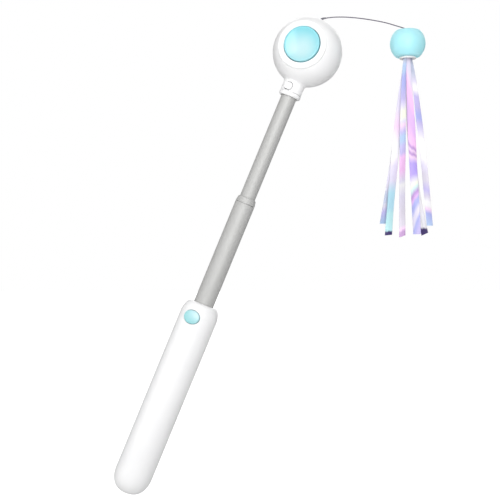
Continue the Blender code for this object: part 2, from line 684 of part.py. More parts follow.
cut(inner, latch(latch_hole(), snap_height))
place(inner, "inner_tube", "grey_tube", wand)
spigot_inner = inner_bore - SEAT
foot_radius = outer_bore - RUNNING
groove = foot_radius - DRAG_RING_SECTION
groove_middle = INNER_BOTTOM - SEAT - PLUG_FOOT_HEIGHT / 2
groove_half = DRAG_RING_SECTION / 2 + SEAT
plug_low = INNER_BOTTOM - SEAT - PLUG_FOOT_HEIGHT
solid(turned([
    (0, plug_low), (foot_radius, plug_low), (foot_radius, groove_middle - groove_half),
    (groove, groove_middle - groove_half), (groove, groove_middle + groove_half),
    (foot_radius, groove_middle + groove_half), (foot_radius, INNER_BOTTOM - SEAT),
    (spigot_inner, INNER_BOTTOM - SEAT), (spigot_inner, INNER_BOTTOM + PLUG_FOOT_HEIGHT),
    (0, INNER_BOTTOM + PLUG_FOOT_HEIGHT),
], TUBE_STEPS), "inner_tube_foot", "white_pom", wand)
ring_half = (DRAG_RING_SECTION - SEAT) / 2
ring_middle = foot_radius - ring_half
solid(turned(arc(ring_middle, groove_middle, ring_half, 0, 300, 5), TUBE_STEPS), "inner_drag_ring",
      "black_rubber", wand)
plug_reach = SNAP_DROP - SNAP_HEIGHT / 2 - SOCKET_FLOOR - 4 * RUNNING
solid(turned([
    (0, inner_top - plug_reach / 2), (spigot_inner, inner_top - plug_reach / 2),
    (spigot_inner, inner_top + SEAT), (INNER_RADIUS, inner_top + SEAT),
    (INNER_RADIUS, inner_top + 2 * INNER_WALL), (0, inner_top + 2 * INNER_WALL),
], TUBE_STEPS), "inner_tube_plug", "white_pom", wand)

# Snap latch: a rounded pad with a flange inside the tube, on a leaf bent back along the tube
pad_face = NECK_RADIUS + SNAP_PROUD
flange_half = SNAP_WIDTH / 2 + RUNNING
flange_reach = sqrt(inner_bore ** 2 - flange_half ** 2) - SEAT
pad = body(rounded_box(SNAP_WIDTH, SNAP_HEIGHT, SNAP_CORNER, flange_reach - SNAP_FLANGE / 2,
                       pad_face - SEAT))
unite(pad, rounded_box(SNAP_WIDTH - 4 * RUNNING, SNAP_HEIGHT - 4 * RUNNING, SNAP_CORNER - 2 * RUNNING,
                       pad_face - 2 * SEAT, pad_face))
unite(pad, rounded_box(2 * flange_half, SNAP_HEIGHT + 4 * RUNNING, SNAP_CORNER, flange_reach - SNAP_FLANGE,
                       flange_reach))
pad.data.transform(snap_turn)
pad.data.transform(Matrix.Translation((0, 0, snap_height)))
place(pad, "snap_button", "white_abs", wand, (0, 0, snap_height))
leaf_near = flange_reach - SNAP_FLANGE - SEAT - SNAP_SPRING_THICKNESS / 2
leaf_half = SNAP_WIDTH / 3
leaf_far = sqrt(inner_bore ** 2 - leaf_half ** 2) - SEAT - SNAP_SPRING_THICKNESS / 2
bend = (leaf_near + leaf_far) / 2
middle = (leaf_far - leaf_near) / 2
leaf = [(-leaf_near, SNAP_HEIGHT / 2), (-leaf_near, -SNAP_SPRING_LENGTH + bend)]
leaf += [(middle - bend * cos(radians(a)), -SNAP_SPRING_LENGTH + bend - bend * sin(radians(a)))
         for a in range(30, 180, 30)]
leaf += [(leaf_far, -SNAP_SPRING_LENGTH + bend), (leaf_far, -SNAP_HEIGHT / 2)]
solid(latch(strip(leaf, SNAP_SPRING_THICKNESS, -leaf_half, leaf_half), snap_height), "snap_spring",
      "plated_steel", wand, (0, 0, snap_height))


# Head shells: a ball and neck turned as one form, hollowed, and split front and rear
def full_ball(radius):
    """A closed ball, with its poles exactly on the axis."""
    points = [(radius * cos(radians(a)), radius * sin(radians(a))) for a in range(-75, 76, 15)]
    return turned([(0, -radius)] + points + [(0, radius)], CAVITY_STEPS)


fillet_r = NECK_RADIUS + NECK_FILLET
fillet_z = -sqrt((BALL_RADIUS + NECK_FILLET) ** 2 - fillet_r ** 2)
tangent = degrees(asin(fillet_z / (BALL_RADIUS + NECK_FILLET)))
collar_seat = NECK_RADIUS - NECK_COLLAR_WALL
neck_end = -NECK_REACH + NECK_COLLAR_WALL - SEAT
collar_shelf = -NECK_REACH + NECK_COLLAR_HEIGHT
outside = [(0, BALL_RADIUS)] + arc(0, 0, BALL_RADIUS, 80, tangent, 12)
outside += [(fillet_r + NECK_FILLET * cos(radians(a)), fillet_z + NECK_FILLET * sin(radians(a)))
            for a in (tangent + 180 + (360 - 180 - tangent - 180) * s for s in (0.33, 0.66, 1.0))]
outside += [(NECK_RADIUS, collar_shelf), (collar_seat, collar_shelf), (collar_seat, neck_end), (0, neck_end)]
socket_bore = INNER_RADIUS + RUNNING
eye_radius = SCREW_HOLE_RADIUS + 1.4 * BOSS_WALL
eye_half = EYE_THICKNESS / 2
HEAD_SCREWS = [(x * SCREW_ACROSS, z * SCREW_UP) for x in (-1, 1) for z in (-1, 1)]
board_back = MOTOR_RADIUS + CHASSIS_WALL + SEAT
board_front = board_back + BOARD_THICKNESS
cell_back = MOTOR_FLATS / 2 + SEAT + CHASSIS_BACK_WALL + SEAT + CELL_THICKNESS
front_wall = BEZEL_SEAT - BALL_WALL
opening = DISH_RADIUS + DISH_FLANGE + 2 * RUNNING
wall_middle = BALL_RADIUS - BALL_WALL / 2

halves = []
for side in (-1, 1):
    shell = body(turned(outside, LARGE_STEPS))
    hollow = body(full_ball(BALL_RADIUS - BALL_WALL))
    cut(hollow, block((-BALL_RADIUS, BALL_RADIUS), (-BALL_RADIUS, -front_wall), (-BALL_RADIUS, BALL_RADIUS)))
    tool = bmesh.new()
    tool.from_mesh(hollow.data)
    bpy.data.objects.remove(hollow, do_unlink=True)
    cut(shell, tool)
    unite(shell, disc(NECK_RADIUS, -BALL_RADIUS + BALL_WALL / 2, -SOCKET_FLOOR + SOCKET_FLOOR_WALL))
    cut(shell, disc(socket_bore, -2 * NECK_REACH, -SOCKET_FLOOR))
    cut(shell, disc(POLE_HOLE_RADIUS, BALL_RADIUS / 2, 2 * BALL_RADIUS))
    for x, z in HEAD_SCREWS:
        low, high = (eye_half + SEAT, BALL_RADIUS) if side < 0 else (-BALL_RADIUS, -eye_half - SEAT)
        unite(shell, clipped(disc(boss_radius, low, high, SMALL_STEPS, "FRONT", (x, 0, z)),
                             full_ball(wall_middle)))
        if side > 0:
            wide = disc(counterbore + BOSS_WALL, -BALL_RADIUS, -HEAD_SCREW_SEAT + BOSS_WALL, SMALL_STEPS,
                        "FRONT", (x, 0, z))
            unite(shell, clipped(wide, full_ball(wall_middle)))
            cut(shell, disc(counterbore, -BALL_RADIUS, -HEAD_SCREW_SEAT, SMALL_STEPS, "FRONT", (x, 0, z)))
        cut(shell, disc(SCREW_HOLE_RADIUS, -HEAD_SCREW_SEAT - SEAT, SCREW_LENGTH - HEAD_SCREW_SEAT + SEAT,
                        SMALL_STEPS, "FRONT", (x, 0, z)))
    half = (SEAT / 2, BALL_RADIUS * 2) if side > 0 else (-BALL_RADIUS * 2, -SEAT / 2)
    clip(shell, block((-2 * BALL_RADIUS, 2 * BALL_RADIUS), half, (-2 * NECK_REACH, 2 * BALL_RADIUS)))
    halves.append(shell)
front_half, rear_half = halves

# Front half: a flat seat and opening for the raised ring, posts for the board, the latch hole
cut(front_half, block((-BALL_RADIUS, BALL_RADIUS), (-2 * BALL_RADIUS, -BEZEL_SEAT),
                      (-BALL_RADIUS, BALL_RADIUS)))
cut(front_half, disc(opening, front_wall / 2, BALL_RADIUS, LARGE_STEPS, "FRONT"))
post_half = POST_WIDTH / 2
post_in = opening + SEAT
post_out = post_in + POST_WIDTH
for turns in range(4):
    post = block((-post_half, post_half), (-front_wall - BALL_WALL / 2, -board_front - SEAT),
                 (post_in, post_out))
    bmesh.ops.rotate(post, cent=(0, 0, 0), matrix=Matrix.Rotation(turns * pi / 2, 3, "Y"), verts=post.verts)
    unite(front_half, post)
cut(front_half, latch(latch_hole(), -SNAP_DROP))
place(front_half, "head_front_shell", "white_abs", head)

# Rear half: ribs behind the battery, rails under the charging board, the charging slot
cell_ribs = CELL_WIDTH / 4
rail_half = PORT_WIDTH / 2
board_low = PORT_LEVEL - PORT_HEIGHT / 2 - SEAT - BOARD_THICKNESS
for side in (-1, 1):
    low, high = sorted((side * cell_ribs, side * (cell_ribs + BALL_WALL * 0.75)))
    rib = block((low, high), (cell_back + SEAT, BALL_RADIUS), (CELL_BOTTOM, CELL_BOTTOM + CELL_HEIGHT))
    unite(rear_half, clipped(rib, full_ball(wall_middle)))
    low, high = sorted((side * rail_half, side * (rail_half + BALL_WALL * 0.75)))
    rail = block((low, high), (MOTOR_RADIUS + BALL_WALL, BALL_RADIUS),
                 (board_low - SEAT - BALL_WALL, board_low - SEAT))
    unite(rear_half, clipped(rail, full_ball(wall_middle)))
port_mouth = sqrt(BALL_RADIUS ** 2 - PORT_LEVEL ** 2 - (PORT_WIDTH / 2) ** 2) - PORT_RECESS
port_slot = rounded_box(PORT_WIDTH + 2 * SEAT, PORT_HEIGHT + 2 * SEAT, PORT_HEIGHT * 0.45,
                        -BALL_RADIUS * 1.2, -port_mouth + PORT_DEPTH)
bmesh.ops.translate(port_slot, vec=(0, 0, PORT_LEVEL), verts=port_slot.verts)
cut(rear_half, port_slot)
place(rear_half, "head_rear_shell", "white_abs", head)
screws("head_screw", "plated_steel", head, HEAD_SCREWS, HEAD_SCREW_SEAT)

# Neck collar: a ring that grips both halves, rounded under the neck
collar_out = NECK_RADIUS + NECK_COLLAR_WALL / 3
solid(turned([
    (collar_seat + SEAT, collar_shelf - SEAT), (collar_out, collar_shelf - SEAT),
    (collar_out, -NECK_REACH + NECK_COLLAR_HEIGHT / 4),
    (collar_out - NECK_COLLAR_WALL / 3, -NECK_REACH + SEAT),
    (collar_out - NECK_COLLAR_WALL, -NECK_REACH), (socket_bore, -NECK_REACH),
    (socket_bore, neck_end - SEAT), (collar_seat + SEAT, neck_end - SEAT),
], TUBE_STEPS), "neck_collar", "white_abs", head)

# Raised ring around the head button, with a stepped inner edge and a spigot in the opening
bezel_low = BEZEL_SEAT + SEAT
bezel_top = BEZEL_SEAT + BEZEL_HEIGHT
bezel_bore = DISH_RADIUS + RUNNING + SEAT
bezel_lip = bezel_bore + BEZEL_LIP / 2
spigot_back = BEZEL_SEAT - BALL_WALL - SEAT
round_edge = BEZEL_HEIGHT * 0.55
edge = arc(BEZEL_RADIUS - round_edge, bezel_top - round_edge, round_edge, 0, 90, 2)
solid(turned([
    (opening - SEAT, spigot_back), (opening - SEAT, bezel_low), (BEZEL_RADIUS, bezel_low), *edge,
    (bezel_lip, bezel_top), (bezel_lip - SEAT, bezel_top - BEZEL_LIP / 4),
    (bezel_bore, bezel_top - BEZEL_LIP / 4), (bezel_bore, spigot_back),
], LARGE_STEPS, "FRONT"), "bezel_ring", "white_abs", head)

# Head button: a shallow dish on a skirt, with a flange behind the ring and a stem to the switch
rim = bezel_top + DISH_PROUD
rim_round = DISH_DEPTH * 0.25
bowl = DISH_RADIUS - 2 * rim_round
bowl_radius = (bowl ** 2 + DISH_DEPTH ** 2) / (2 * DISH_DEPTH)
dish = [(0, rim - DISH_DEPTH)]
for i in range(1, 6):
    across = bowl * i / 5
    dish.append((across, rim - DISH_DEPTH + bowl_radius - sqrt(bowl_radius ** 2 - across ** 2)))
dish += [(DISH_RADIUS - rim_round, rim), (DISH_RADIUS, rim - rim_round)]
plate_back = rim - DISH_DEPTH - DISH_WALL
flange_front = spigot_back - SEAT
flange_back = flange_front - DISH_WALL / 2
switch_front = board_front + SEAT + SWITCH_HEIGHT
plunger_front = switch_front + HEAD_BUTTON_TRAVEL + SEAT
stem_tip = plunger_front + SEAT
dish += [
    (DISH_RADIUS, flange_front), (DISH_RADIUS + DISH_FLANGE, flange_front),
    (DISH_RADIUS + DISH_FLANGE, flange_back),
    (DISH_RADIUS - DISH_WALL, flange_back), (DISH_RADIUS - DISH_WALL, plate_back),
    (PLUNGER_RADIUS, plate_back), (PLUNGER_RADIUS, stem_tip), (0, stem_tip),
]
solid(turned(dish, LARGE_STEPS, "FRONT"), "head_button", "turquoise_abs", head)
plunger_back = board_front + SEAT + HEAD_BUTTON_TRAVEL
solid(disc(PLUNGER_RADIUS, plunger_back, plunger_front, SMALL_STEPS, "FRONT"), "switch_plunger",
      "turquoise_abs", head)
half_switch = SWITCH_WIDTH / 2
switch = body(block((-half_switch, half_switch), (-switch_front, -board_front - SEAT),
                    (-half_switch, half_switch)))
cut(switch, disc(PLUNGER_RADIUS + RUNNING, 0, BALL_RADIUS, SMALL_STEPS, "FRONT"))
place(switch, "switch_body", "black_rubber", head)
coil = []
coil_low = board_front + SEAT + BUTTON_SPRING_WIRE
coil_high = plate_back - SEAT - BUTTON_SPRING_WIRE
for i in range(BUTTON_SPRING_TURNS * 10 + 1):
    share = i / (BUTTON_SPRING_TURNS * 10)
    t = share * BUTTON_SPRING_TURNS * 2 * pi
    coil.append((BUTTON_SPRING_RADIUS * cos(t), -coil_low - (coil_high - coil_low) * share,
                 BUTTON_SPRING_RADIUS * sin(t)))
solid(swept(coil, round_section(BUTTON_SPRING_WIRE, 5)), "button_spring", "plated_steel", head)

# Control board
solid(disc(BOARD_RADIUS, board_back, board_front, TUBE_STEPS, "FRONT"), "control_board", "board_green", head)

# Chassis: a cradle for the motor, open to the front, with four eyes between the shells' bosses
motor_top = MOTOR_BOTTOM + MOTOR_LENGTH
gear_bottom = motor_top + SEAT
gear_top = gear_bottom + GEARBOX_LENGTH
half_x = MOTOR_RADIUS + SEAT
chassis_x = half_x + CHASSIS_WALL
chassis_back = MOTOR_FLATS / 2 + SEAT + CHASSIS_BACK_WALL
chassis_top = gear_top + SEAT + CHASSIS_TOP_WALL
chassis_low = -SCREW_UP - eye_radius * 0.8
chassis = body(block((-chassis_x, chassis_x), (-board_back + SEAT, chassis_back),
                     (chassis_low, chassis_top)))
cut(chassis, block((-half_x, half_x), (-BALL_RADIUS, MOTOR_FLATS / 2 + SEAT),
                   (MOTOR_BOTTOM - SEAT, gear_top + SEAT)))
cut(chassis, disc(SHAFT_RADIUS + RUNNING, gear_top, BALL_RADIUS, SMALL_STEPS))
arm_half = eye_radius * 0.6
arm_thick = eye_half * 0.8
for x, z in HEAD_SCREWS:
    low, high = sorted((x, chassis_x * (1 if x > 0 else -1) * 0.95))
    unite(chassis, block((low, high), (-arm_thick, arm_thick), (z - arm_half, z + arm_half)))
    unite(chassis, disc(eye_radius, -eye_half, eye_half, SMALL_STEPS, "FRONT", (x, 0, z)))
    cut(chassis, disc(SCREW_HOLE_RADIUS, -EYE_THICKNESS, EYE_THICKNESS, SMALL_STEPS, "FRONT", (x, 0, z)))
place(chassis, "chassis", "white_pom", head)

# Motor, gearbox, battery and charging socket
flats = ((-MOTOR_RADIUS, MOTOR_RADIUS), (-MOTOR_FLATS / 2, MOTOR_FLATS / 2))
can = body(disc(MOTOR_RADIUS, MOTOR_BOTTOM, motor_top))
clip(can, block(flats[0], flats[1], (MOTOR_BOTTOM - SEAT, motor_top + SEAT)))
place(can, "motor", "plated_steel", head)
solid(block(flats[0], flats[1], (gear_bottom, gear_top)), "gearbox", "plated_steel", head)
solid(block((-CELL_WIDTH / 2, CELL_WIDTH / 2), (cell_back - CELL_THICKNESS, cell_back),
            (CELL_BOTTOM, CELL_BOTTOM + CELL_HEIGHT)), "battery", "cell_wrap", head)
port_back = port_mouth - PORT_DEPTH
port = rounded_box(PORT_WIDTH, PORT_HEIGHT, PORT_HEIGHT * 0.4, -port_mouth, -port_back)
bmesh.ops.translate(port, vec=(0, 0, PORT_LEVEL), verts=port.verts)
socket = body(port)
mouth = rounded_box(PORT_WIDTH - 2 * SEAT, PORT_HEIGHT - 2 * SEAT, PORT_HEIGHT * 0.3, -BALL_RADIUS,
                    -port_mouth + PORT_DEPTH * 0.7)
bmesh.ops.translate(mouth, vec=(0, 0, PORT_LEVEL), verts=mouth.verts)
place(cut(socket, mouth), "charge_socket", "plated_steel", head)
board_far = sqrt((BALL_RADIUS - BALL_WALL) ** 2 - board_low ** 2 - (PORT_WIDTH * 0.75) ** 2) - SEAT
solid(block((-PORT_WIDTH * 0.75, PORT_WIDTH * 0.75), (MOTOR_RADIUS + BALL_WALL, board_far),
            (board_low, board_low + BOARD_THICKNESS)), "charge_board", "board_green", head)

# Drive: the gearbox's shaft and a hub that fills the hole in the ball's pole
shaft_top = chassis_top + SEAT + (BALL_RADIUS - chassis_top) / 2
hub_low = chassis_top + SEAT
solid(disc(SHAFT_RADIUS, gear_top + SEAT, shaft_top, SMALL_STEPS), "drive_shaft", "plated_steel", head)
sleeve_radius = WIRE_RADIUS + SEAT + SLEEVE_WALL
hub_rise = BALL_RADIUS - sqrt(BALL_RADIUS ** 2 - HUB_RADIUS ** 2)
solid(turned([
    (SHAFT_RADIUS + SEAT, hub_low), (HUB_RADIUS, hub_low), (HUB_RADIUS, BALL_RADIUS - hub_rise),
    (sleeve_radius + SEAT, BALL_RADIUS), (sleeve_radius + SEAT, shaft_top + SEAT),
    (SHAFT_RADIUS + SEAT, shaft_top + SEAT),
], TUBE_STEPS), "drive_hub", "white_abs", head)


def smooth_route(points, steps):
    """A smooth curve through every point, with a few steps between each pair."""
    line = [Vector(point) for point in points]
    ends = [line[0] * 2 - line[1]] + line + [line[-1] * 2 - line[-2]]
    route = []
    for a, b, c, d in zip(ends, ends[1:], ends[2:], ends[3:]):
        for i in range(steps):
            t = i / steps
            route.append(0.5 * (2 * b + (c - a) * t + (2 * a - 5 * b + 4 * c - d) * t ** 2
                                + (3 * b - a - 3 * c + d) * t ** 3))
    return route + [line[-1]]


# Spring wire from the hub to the toy, with a dark sleeve at its root and a ball at its end
root = [up * (shaft_top + 2 * SEAT - BALL_RADIUS), up * -SLEEVE_WALL, up * SLEEVE_WALL]
end_ball_top = WIRE_END_BALL_RADIUS + SEAT - TOY_PIVOT_DROP
drop = [(TOY_ACROSS - WIRE_RADIUS, PIVOT_BELOW_TOP - TOY_PIVOT_DROP),
        (TOY_ACROSS, end_ball_top + WIRE_RADIUS), (TOY_ACROSS, end_ball_top)]
points = root + [Vector((x, 0, z)) for x, z in WIRE_ROUTE + drop]
route = smooth_route(points, 2)
solid(swept(route, round_section(WIRE_RADIUS, 8)), "teaser_wire", "spring_steel", level)
sleeve_route = []
length = 0
for a, b in zip(route, route[1:]):
    sleeve_route.append(a)
    length += (b - a).length
    if length > SLEEVE_LENGTH:
        break
sleeve = body(swept(sleeve_route, round_section(sleeve_radius, 8)))
before = sleeve_route[0] - (sleeve_route[1] - sleeve_route[0])
after = sleeve_route[-1] * 2 - sleeve_route[-2]
cut(sleeve, swept([before] + sleeve_route + [after], round_section(WIRE_RADIUS + SEAT, 8)))
place(sleeve, "wire_sleeve", "black_rubber", level)
end_ball = [(0, -WIRE_END_BALL_RADIUS)] + arc(0, 0, WIRE_END_BALL_RADIUS, -60, 60, 4)
end_ball.append((0, WIRE_END_BALL_RADIUS))
solid(turned(end_ball, SMALL_STEPS), "wire_end_ball", "plated_steel", toy)

# Swivel: a cup around the wire's end ball, with a stem riveted under the bead's web
cup_in = WIRE_END_BALL_RADIUS + SEAT
cup_out = cup_in + SWIVEL_WALL
lip = WIRE_END_BALL_RADIUS * 0.78
cup_low = -cup_in - SWIVEL_WALL
web_top = cup_low - SEAT
web_low = web_top - BEAD_WEB
rivet_top = web_low - SEAT
rivet_low = rivet_top - SWIVEL_WALL
lip_radius = sqrt(cup_in ** 2 - lip ** 2)
cup = [(0, -cup_in), *arc(0, 0, cup_in, -60, 25, 3)]
cup += [(lip_radius, lip), (cup_out * 0.75, lip), (cup_out, cup_in * sin(radians(25)))]
cup += [(cup_out, cup_low + SWIVEL_WALL), (cup_out - SWIVEL_WALL, cup_low)]
cup += [(SWIVEL_STEM_RADIUS, cup_low), (SWIVEL_STEM_RADIUS, rivet_top), (SWIVEL_HEAD_RADIUS, rivet_top)]
cup += [(SWIVEL_HEAD_RADIUS, rivet_low), (0, rivet_low)]
solid(turned(cup, SMALL_STEPS), "toy_swivel", "plated_steel", toy)

# Bead: a hollow ball with a flat top and bottom, a bore for the swivel and a web that hangs on it
bead_mid = PIVOT_BELOW_TOP - BEAD_TOP
bead_in = BEAD_RADIUS - BEAD_WALL
bore = cup_out + 2 * RUNNING
top_turn = degrees(asin(BEAD_TOP / BEAD_RADIUS))
low_turn = -degrees(asin(BEAD_BOTTOM / BEAD_RADIUS))
in_low = -degrees(asin((BEAD_BOTTOM - BEAD_WALL) / bead_in))
in_top = degrees(asin((BEAD_TOP - BEAD_WALL) / bead_in))
profile = [(bore, bead_mid + BEAD_TOP)] + arc(0, bead_mid, BEAD_RADIUS, top_turn, low_turn, 8)
profile += [(PLUG_RADIUS, bead_mid - BEAD_BOTTOM), (PLUG_RADIUS, bead_mid - BEAD_BOTTOM + BEAD_WALL)]
profile += arc(0, bead_mid, bead_in, in_low, in_top, 4)
profile += [(bore + BEAD_WALL, bead_mid + BEAD_TOP - BEAD_WALL), (bore + BEAD_WALL, web_low)]
stem_bore = SWIVEL_STEM_RADIUS + RUNNING
profile += [(stem_bore, web_low), (stem_bore, web_top), (bore, web_top)]
solid(turned(profile, TUBE_STEPS), "bead", "turquoise_abs", toy)

# Plug in the bead's bottom, with a pocket that grips the ribbons
plug_top = bead_mid - BEAD_BOTTOM + PLUG_DEPTH
flange_top = bead_mid - BEAD_BOTTOM - SEAT
plug_end = flange_top - PLUG_FLANGE_HEIGHT
plug = body(turned([
    (0, plug_end), (PLUG_RADIUS + PLUG_FLANGE, plug_end), (PLUG_RADIUS + PLUG_FLANGE, flange_top),
    (PLUG_RADIUS - SEAT, flange_top), (PLUG_RADIUS - SEAT, plug_top), (0, plug_top),
], TUBE_STEPS))
stack = RIBBON_PITCH * len(RIBBONS) / 2
pocket_half = sqrt((PLUG_RADIUS - 2 * SEAT) ** 2 - stack ** 2)
pocket_top = plug_top - SWIVEL_WALL
cut(plug, block((-pocket_half, pocket_half), (-stack, stack), (plug_end - SEAT, pocket_top)))
place(plug, "bead_insert", "white_abs", toy)


# Ribbons: strips of film, layered in the pocket, that fan out and turn as they hang
def ribbon(index, across, forward, below, width, twist):
    layer = (index - (len(RIBBONS) - 1) / 2) * RIBBON_PITCH
    top = pocket_top - SEAT
    rings = []
    for i in range(RIBBON_STEPS + 1):
        t = i / RIBBON_STEPS
        free = max(0.0, (t - HELD_SHARE) / (1 - HELD_SHARE))
        x = across * (EVEN_FLARE * free + (1 - EVEN_FLARE) * free ** 1.6)
        y = layer + (forward - layer) * free ** 1.4
        z = top - (below + top) * t
        turned_by = twist * free
        side = Vector((cos(turned_by), sin(turned_by), 0)) * width / 2
        thick = Vector((-sin(turned_by), cos(turned_by), 0)) * RIBBON_THICKNESS / 2
        left, right = Vector((x, y, z)) - side, Vector((x, y, z)) + side
        rings.append([left - thick, right - thick, right + thick, left + thick])
    return lofted(rings)


for i, (sizes, twist) in enumerate(zip(RIBBONS, RIBBON_TWISTS)):
    solid(ribbon(i, *sizes, twist), f"ribbon_{i + 1}", "iridescent_film", toy)
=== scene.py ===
"""Looks of the telescopic cat teaser wand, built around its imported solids.

Lengths are in metres. The wand's pieces are made upright, with heights from the handle's butt and the
front towards -Y, and then leaned as the hand holds them. The script follows the wand from the handle up.
"""

from math import asin, atan2, cos, pi, radians, sin, sqrt

import bmesh
import bpy
from mathutils import Matrix, Vector


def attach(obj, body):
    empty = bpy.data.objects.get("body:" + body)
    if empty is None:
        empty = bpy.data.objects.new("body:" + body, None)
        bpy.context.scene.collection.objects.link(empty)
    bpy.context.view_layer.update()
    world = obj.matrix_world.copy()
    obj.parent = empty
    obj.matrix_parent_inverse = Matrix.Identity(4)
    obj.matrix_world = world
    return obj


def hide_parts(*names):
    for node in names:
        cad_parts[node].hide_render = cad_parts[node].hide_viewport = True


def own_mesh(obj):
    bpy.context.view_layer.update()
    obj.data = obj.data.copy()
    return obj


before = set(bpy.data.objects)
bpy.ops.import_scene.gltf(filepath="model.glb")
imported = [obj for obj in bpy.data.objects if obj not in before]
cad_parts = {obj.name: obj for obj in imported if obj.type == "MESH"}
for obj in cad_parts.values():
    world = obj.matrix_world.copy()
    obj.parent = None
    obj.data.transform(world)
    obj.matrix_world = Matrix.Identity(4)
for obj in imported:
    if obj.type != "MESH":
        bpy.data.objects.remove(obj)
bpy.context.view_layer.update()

# Handle shells: two thin halves moulded in white ABS, front and rear, that meet on a fine split line
# and are drawn together by three screws from the rear. The front half has the thumb button's hole.
LEAN, TURN = radians(22.4), radians(-17)
GRIP_HEIGHT = 0.075
upright = Matrix.Rotation(LEAN, 4, "Y") @ Matrix.Rotation(TURN, 4, "Z")
wand = upright @ Matrix.Translation((0, 0, -GRIP_HEIGHT))
SPLIT, SPLIT_EDGE, EDGE_MIDDLE = 0.00015, 0.00022, 0.29
GAP = 0.0003
HANDLE_LENGTH, HANDLE_WIDTH, HANDLE_DEPTH, HANDLE_WALL = 0.151, 0.0284, 0.0300, 0.0020
BUTT_HEIGHT, BUTT_FLAT, SHOULDER = 0.0146, 0.0040, 0.0108
NOSE_WALL, NOSE_DEPTH, NOSE_TOP, BUSH_WALL, MOUTH_EDGE = 0.0012, 0.0061, 0.0018, 0.0018, 0.0003
OUTER_TUBE = 0.00755
BUTTON_HEIGHT, BUTTON_RADIUS, BUTTON_HALF_HEIGHT = HANDLE_LENGTH - 0.0111, 0.0060, 0.0051
BUTTON_HOLE = (0.0085, 0.0200)
HANDLE_SCREWS = [(0.01035, 0.1299), (-0.01035, 0.1299), (0.0, 0.0168)]
HANDLE_SCREW_SEAT, SCREW_HEAD, BOSS_WALL = 0.0060, 0.0018, 0.0010


def bridged(rings, capped=True, place=Matrix()):
    """A mesh through rings that all have the same number of points, closed at both ends."""
    bm = bmesh.new()
    loops = [[bm.verts.new(point) for point in ring] for ring in rings]
    for low, high in zip(loops, loops[1:]):
        for i in range(len(low)):
            j = (i + 1) % len(low)
            bm.faces.new((low[i], low[j], high[j], high[i]))
    if capped:
        bm.faces.new(loops[0])
        bm.faces.new(loops[-1])
    bmesh.ops.recalc_face_normals(bm, faces=bm.faces)
    bmesh.ops.transform(bm, matrix=place, verts=bm.verts)
    return bm


def half_shell(stations, side, steps=56):
    """Half of a thin shell, closed, with softened edges along its split.

    A station is (half width, half depth, height) outside, then inside. Both ends close to nothing.
    """
    rings = []
    for station in stations:
        ring = []
        soft = 0 if station[0] == station[1] else SPLIT_EDGE
        for (a, b, z), edge in zip(station, (soft, 0)):
            if b < 4 * SPLIT:
                # So near the end, the whole ring is one point
                points = [(0, SPLIT)] * (steps + 5)
            else:
                edge = min(edge, b / 4)
                start = asin((SPLIT + edge) / b)
                tip = a * cos(start)
                corner = [(tip - edge, SPLIT), (tip - edge * EDGE_MIDDLE, SPLIT + edge * EDGE_MIDDLE)]
                sweep = [start + (pi - 2 * start) * i / steps for i in range(steps + 1)]
                points = corner + [(a * cos(t), b * sin(t)) for t in sweep]
                points += [(-x, y) for x, y in reversed(corner)]
            row = [(x, side * y, z) for x, y in points]
            ring += row if not ring else reversed(row)
        rings.append(ring)
    bm = bridged(rings, capped=False)
    bmesh.ops.remove_doubles(bm, verts=bm.verts, dist=2e-6)
    bmesh.ops.dissolve_degenerate(bm, edges=bm.edges, dist=1e-6)
    bmesh.ops.recalc_face_normals(bm, faces=bm.faces)
    return bm


def turned(profile, steps=96, along="UP", centre=(0, 0, 0)):
    """A turned solid from (radius, height) points; along is where its height runs."""
    bm = bmesh.new()
    points = [bm.verts.new((max(radius, 0), 0, height)) for radius, height in profile]
    edges = [bm.edges.new(pair) for pair in zip(points, points[1:])]
    if profile[0][0] > 1e-6 or profile[-1][0] > 1e-6:
        edges.append(bm.edges.new((points[-1], points[0])))
    bmesh.ops.spin(bm, geom=points + edges, cent=(0, 0, 0), axis=(0, 0, 1), angle=2 * pi, steps=steps)
    bmesh.ops.remove_doubles(bm, verts=bm.verts, dist=1e-6)
    bmesh.ops.recalc_face_normals(bm, faces=bm.faces)
    if along == "FRONT":
        bmesh.ops.transform(bm, matrix=Matrix.Rotation(pi / 2, 4, "X"), verts=bm.verts)
    bmesh.ops.translate(bm, vec=centre, verts=bm.verts)
    return bm


def rod(radius, low, high, along="UP", centre=(0, 0, 0), steps=64):
    """A plain round cutter between two heights."""
    return turned([(0, low), (radius, low), (radius, high), (0, high)], steps, along, centre)


def cut(bm, *tools, operation="DIFFERENCE"):
    """The mesh after each tool is cut from it, joined to it, or kept within it."""
    for tool in tools:
        pair = []
        for source in (bm, tool):
            mesh = bpy.data.meshes.new("blank")
            source.to_mesh(mesh)
            source.free()
            pair.append(bpy.data.objects.new("blank", mesh))
            bpy.context.collection.objects.link(pair[-1])
        step = pair[0].modifiers.new("cut", "BOOLEAN")
        step.operation = operation
        step.solver = "MANIFOLD"
        step.object = pair[1]
        bpy.context.view_layer.update()
        seen = pair[0].evaluated_get(bpy.context.evaluated_depsgraph_get())
        bm = bmesh.new()
        bm.from_mesh(seen.to_mesh())
        seen.to_mesh_clear()
        for blank in pair:
            bpy.data.objects.remove(blank, do_unlink=True)
    return bm


def linear(colour):
    """An sRGB hex colour, as the linear colour that a shader takes."""
    parts = [int(colour[i:i + 2], 16) / 255 for i in (1, 3, 5)]
    return (*((c / 12.92 if c <= 0.04045 else ((c + 0.055) / 1.055) ** 2.4) for c in parts), 1.0)


